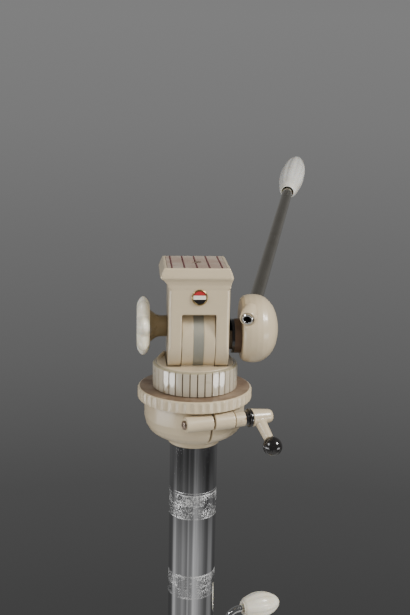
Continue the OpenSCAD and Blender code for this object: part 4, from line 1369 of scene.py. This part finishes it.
@dataclass
class Shoulder:
    """Casting that guides the column and carries the legs."""

    def build(self, shop: Workshop, layout: Layout) -> None:
        """Makes the shoulder's pieces.

        Args:
            shop: Workshop that makes the pieces.
            layout: Frames of the sub-assemblies; not used.
        """
        finishes = shop.finishes
        shop.soften("shoulder_casting", 0.8, 4, 0.3)
        shop.soften("gear_cover", 0.5, 3, 0.4)
        shop.dress(finishes.bush, "column_bushes")
        shop.dress(finishes.steel, "cover_screws", "leg_hinge_bolts")


@dataclass
class Leg:
    """One leg: fork, two tubes, clamp, lock knob and foot."""

    index: int
    azimuth: float
    upper_r: float = 14.0
    upper_top: float = -32.0
    upper_len: float = 370.0
    lower_r: float = 11.0
    wall: float = 1.5
    knob_r: float = 15.0
    knob_t: float = 8.0
    knob_drop: float = 9.0
    knob_rise: float = 14.5
    screw_r: float = 3.0
    collar_r: float = 6.5
    collar_h: float = 4.0

    def build(self, shop: Workshop, layout: Layout) -> None:
        """Makes the leg's pieces.

        Args:
            shop: Workshop that makes the pieces.
            layout: Frames of the sub-assemblies.
        """
        finishes = shop.finishes
        name = "leg_%d_" % self.index
        place = layout.leg(self.azimuth)
        shop.soften(name + "fork", 0.7, 4, 0.3)
        shop.soften(name + "clamp", 0.7, 4, 0.3)
        bottom = self.upper_top - self.upper_len
        upper = revolve(tube(self.upper_r, self.wall, bottom, self.upper_top), 64)
        shop.piece(name + "upper", upper, place, name + "upper_tube", finishes.leg_enamel)
        low, high = (self.along(name + "lower_tube", place, pick) for pick in (min, max))
        lower = revolve(tube(self.lower_r, self.wall, low, high), 64)
        shop.piece(name + "lower", lower, place, name + "lower_tube", finishes.chrome)
        self.knob(shop, place.moved(z=bottom - self.knob_drop).turned(90, "Y"), name)
        shop.dress(finishes.rubber, name + "foot")

    def along(self, node: str, place: Place, pick: Callable[[list[float]], float]) -> float:
        """Lowest or highest height of a CAD node in the leg's frame, in millimetres."""
        inverse = place.matrix.inverted()
        return pick([(inverse @ vertex.co).z for vertex in frame["nodes"][node].data.vertices])

    def knob(self, shop: Workshop, place: Place, name: str) -> None:
        """Lock knob with its collar and screw.

        Args:
            shop: Workshop that makes the pieces.
            place: Knob's axis along +Z, from the tube's middle.
            name: Start of the leg's node names.
        """
        back = self.upper_r + self.knob_rise
        mesh = HandKnob(self.knob_r, self.knob_t, 6, 1.0).mesh()
        mesh.transform(Matrix.Translation((0, 0, back)))
        tip, screw, rim = self.lower_r + 0.3, self.screw_r, self.collar_r
        top = back + 0.8
        low = top - self.collar_h
        revolve([(0, tip), (screw - 0.4, tip), (screw, tip + 0.4), (screw, low), (rim - 0.4, low),
                 (rim, low + 0.4), (rim, top), (0, top)], 48, mesh=mesh)
        shop.piece(name + "lock", mesh, place, name + "knob", shop.finishes.ivory)


@dataclass
class Lamp:
    """A square soft light that faces the head."""

    name: str
    azimuth: float
    lift: float
    away: float
    size: float
    power: float
    tint: Color
    fill: bool = False

    def build(self, head: Place) -> None:
        """Sets the lamp.

        Args:
            head: The head's frame; azimuths count from the camera's side to the right.
        """
        flat = 1000 * self.away * cos(radians(self.lift))
        angle = radians(self.azimuth)
        at = head.point(flat * sin(angle), -flat * cos(angle), 1000 * self.away * sin(radians(self.lift)))
        data = bpy.data.lights.new("lamp_" + self.name, "AREA")
        data.size = self.size
        data.energy = self.power
        data.color = self.tint
        made = bpy.data.objects.new(data.name, data)
        made.location = at
        made.rotation_euler = (at - head.point()).to_track_quat("Z", "Y").to_euler()
        made.visible_glossy = not self.fill
        bpy.context.scene.collection.objects.link(made)


@dataclass
class Surroundings:
    """Dim studio round the tripod: a graded backdrop, and the flats and strips that the chrome mirrors."""

    backdrop: Profile = (
        (-0.60, 0.050), (-0.51, 0.060), (-0.40, 0.078), (-0.28, 0.122), (-0.15, 0.158), (-0.03, 0.196),
        (0.08, 0.218), (0.50, 0.160), (1.00, 0.100))
    flats: Profile = (
        (-180, 0.06), (-148, 0.12), (-116, 0.15), (-106, 0.34), (-94, 0.34), (-86, 0.20), (-72, 0.14),
        (-58, 0.17), (-48, 0.25), (-38, 0.17), (-28, 0.13), (-22, 0.27), (-15, 0.15), (-3, 0.18), (5, 0.44),
        (20, 0.34), (35, 0.23), (50, 0.15), (64, 0.09), (76, 0.07), (86, 0.16), (106, 0.18), (124, 0.15),
        (142, 0.09), (180, 0.06))
    room: float = 0.10
    strips: Profile = ((-102.0, -46.0), (42.0, 84.0))
    strip_glow: float = 6.0
    strip_edge: float = 8.0

    def build(self) -> None:
        """Makes the world."""
        world = bpy.data.worlds.new("studio")
        world.use_nodes = True
        nodes = Nodes(world.node_tree)
        split = nodes.node("ShaderNodeSeparateXYZ")
        nodes.feed(split.inputs[0], nodes.node("ShaderNodeTexCoord").outputs["Generated"])
        x, y, z = split.outputs
        around = nodes.math("DEGREES", nodes.math("ARCTAN2", x, nodes.math("MULTIPLY", y, -1.0)))
        behind = nodes.curve(z, self.backdrop)
        low = nodes.math("MULTIPLY", nodes.curve(around, self.flats), nodes.ramp(z, -0.37, -0.48, 0.30, 1.4))
        front = nodes.mix(nodes.ramp(z, -0.30, -0.36), self.room, low)
        total = nodes.mix(nodes.ramp(y, 0.15, 0.55), front, behind)
        height = nodes.math("MULTIPLY", nodes.ramp(z, -0.358, -0.348), nodes.ramp(z, -0.16, -0.10, 1.0, 0.0))
        for start, end in self.strips:
            wide = nodes.math("MULTIPLY", nodes.ramp(around, start, start + self.strip_edge),
                              nodes.ramp(around, end - self.strip_edge, end, 1.0, 0.0))
            glow = nodes.math("MULTIPLY", nodes.math("MULTIPLY", wide, height), self.strip_glow)
            total = nodes.math("ADD", total, glow)
        seen = nodes.node("ShaderNodeLightPath").outputs["Is Camera Ray"]
        nodes.feed(nodes.tree.nodes["Background"].inputs["Color"], nodes.mix(seen, total, behind))
        bpy.context.scene.world = world


@dataclass
class Studio:
    """Floor, soft lights and the camera at the photo's viewpoint."""

    eye: Triple = (-48.58, -733.44, 233.68)
    right: Triple = (0.9973, -0.0715, 0.0195)
    up: Triple = (-0.0031, 0.2237, 0.9746)
    lens: float = 54.44
    floor_half: float = 1.35
    floor_solid: float = 0.75
    floor_end: float = 1.3

    def build(self, layout: Layout) -> None:
        """Sets the floor, world, lights and camera.

        Args:
            layout: Frames of the sub-assemblies.
        """
        self.floor()
        Surroundings().build()
        head = layout.head()
        for lamp in (Lamp("left", -64.0, 31.0, 1.6, 0.45, 9.0, (0.97, 0.98, 1.0)),
                     Lamp("right", 65.0, 37.0, 1.6, 0.45, 30.0, (1.0, 0.985, 0.96)),
                     Lamp("front", 8.0, 38.0, 1.9, 1.2, 14.0, (1.0, 0.99, 0.96), True),
                     Lamp("bounce", -22.0, -24.0, 1.6, 1.0, 4.5, (1.0, 0.98, 0.94), True)):
            lamp.build(head)
        self.camera(head)

    def floor(self) -> None:
        """A round pale floor that fades out at its edge."""
        mesh = bmesh.new()
        bmesh.ops.create_grid(mesh, x_segments=1, y_segments=1, size=self.floor_half)
        data = bpy.data.meshes.new("studio_floor")
        mesh.to_mesh(data)
        mesh.free()
        made = bpy.data.objects.new("studio_floor", data)
        bpy.context.scene.collection.objects.link(made)
        shader = Shader("floor_paper", (0.62, 0.62, 0.61), 0.9)
        far = shader.node("ShaderNodeVectorMath", operation="LENGTH")
        shader.feed(far.inputs[0], shader.node("ShaderNodeTexCoord").outputs["Object"])
        mix = shader.node("ShaderNodeMixShader")
        fade = shader.ramp(far.outputs["Value"], self.floor_solid, self.floor_end)
        for index, source in enumerate((fade, shader.bsdf.outputs[0],
                                        shader.node("ShaderNodeBsdfTransparent").outputs[0])):
            shader.feed(mix.inputs[index], source)
        shader.feed(shader.tree.nodes["Material Output"].inputs["Surface"], mix.outputs[0])
        data.materials.append(shader.material)

    def camera(self, head: Place) -> None:
        """The photo's camera.

        Args:
            head: The head's frame, which the eye is measured in.
        """
        data = bpy.data.cameras.new("photo_camera")
        data.sensor_width = 36.0
        data.lens = self.lens
        data.clip_start = 0.01
        data.clip_end = 50.0
        made = bpy.data.objects.new("photo_camera", data)
        right = Vector(self.right).normalized()
        up = Vector(self.up).normalized()
        back = right.cross(up)
        turn = Matrix((right, up, back)).transposed().to_4x4()
        made.matrix_world = Matrix.Translation(head.point(*self.eye)) @ turn
        bpy.context.scene.collection.objects.link(made)
        bpy.context.scene.camera = made


def main() -> None:
    """Builds the studio and every sub-assembly, logging the pieces made for each."""
    logging.basicConfig(level=logging.INFO, format="%(message)s")
    layout = Layout()
    Studio().build(layout)
    log.info("studio: floor, world, lamps and camera")
    shop = Workshop(layout)
    legs = [Leg(index, azimuth) for index, azimuth in enumerate((60.0, 180.0, 300.0), 1)]
    for part in (Column(), PanSeat(), TiltHead(), PanHandle(), CrankDrive(), Shoulder(), *legs):
        part.build(shop, layout)
        log.info("%s: %s", type(part).__name__, shop.take())


if __name__ == "__main__":
    main()
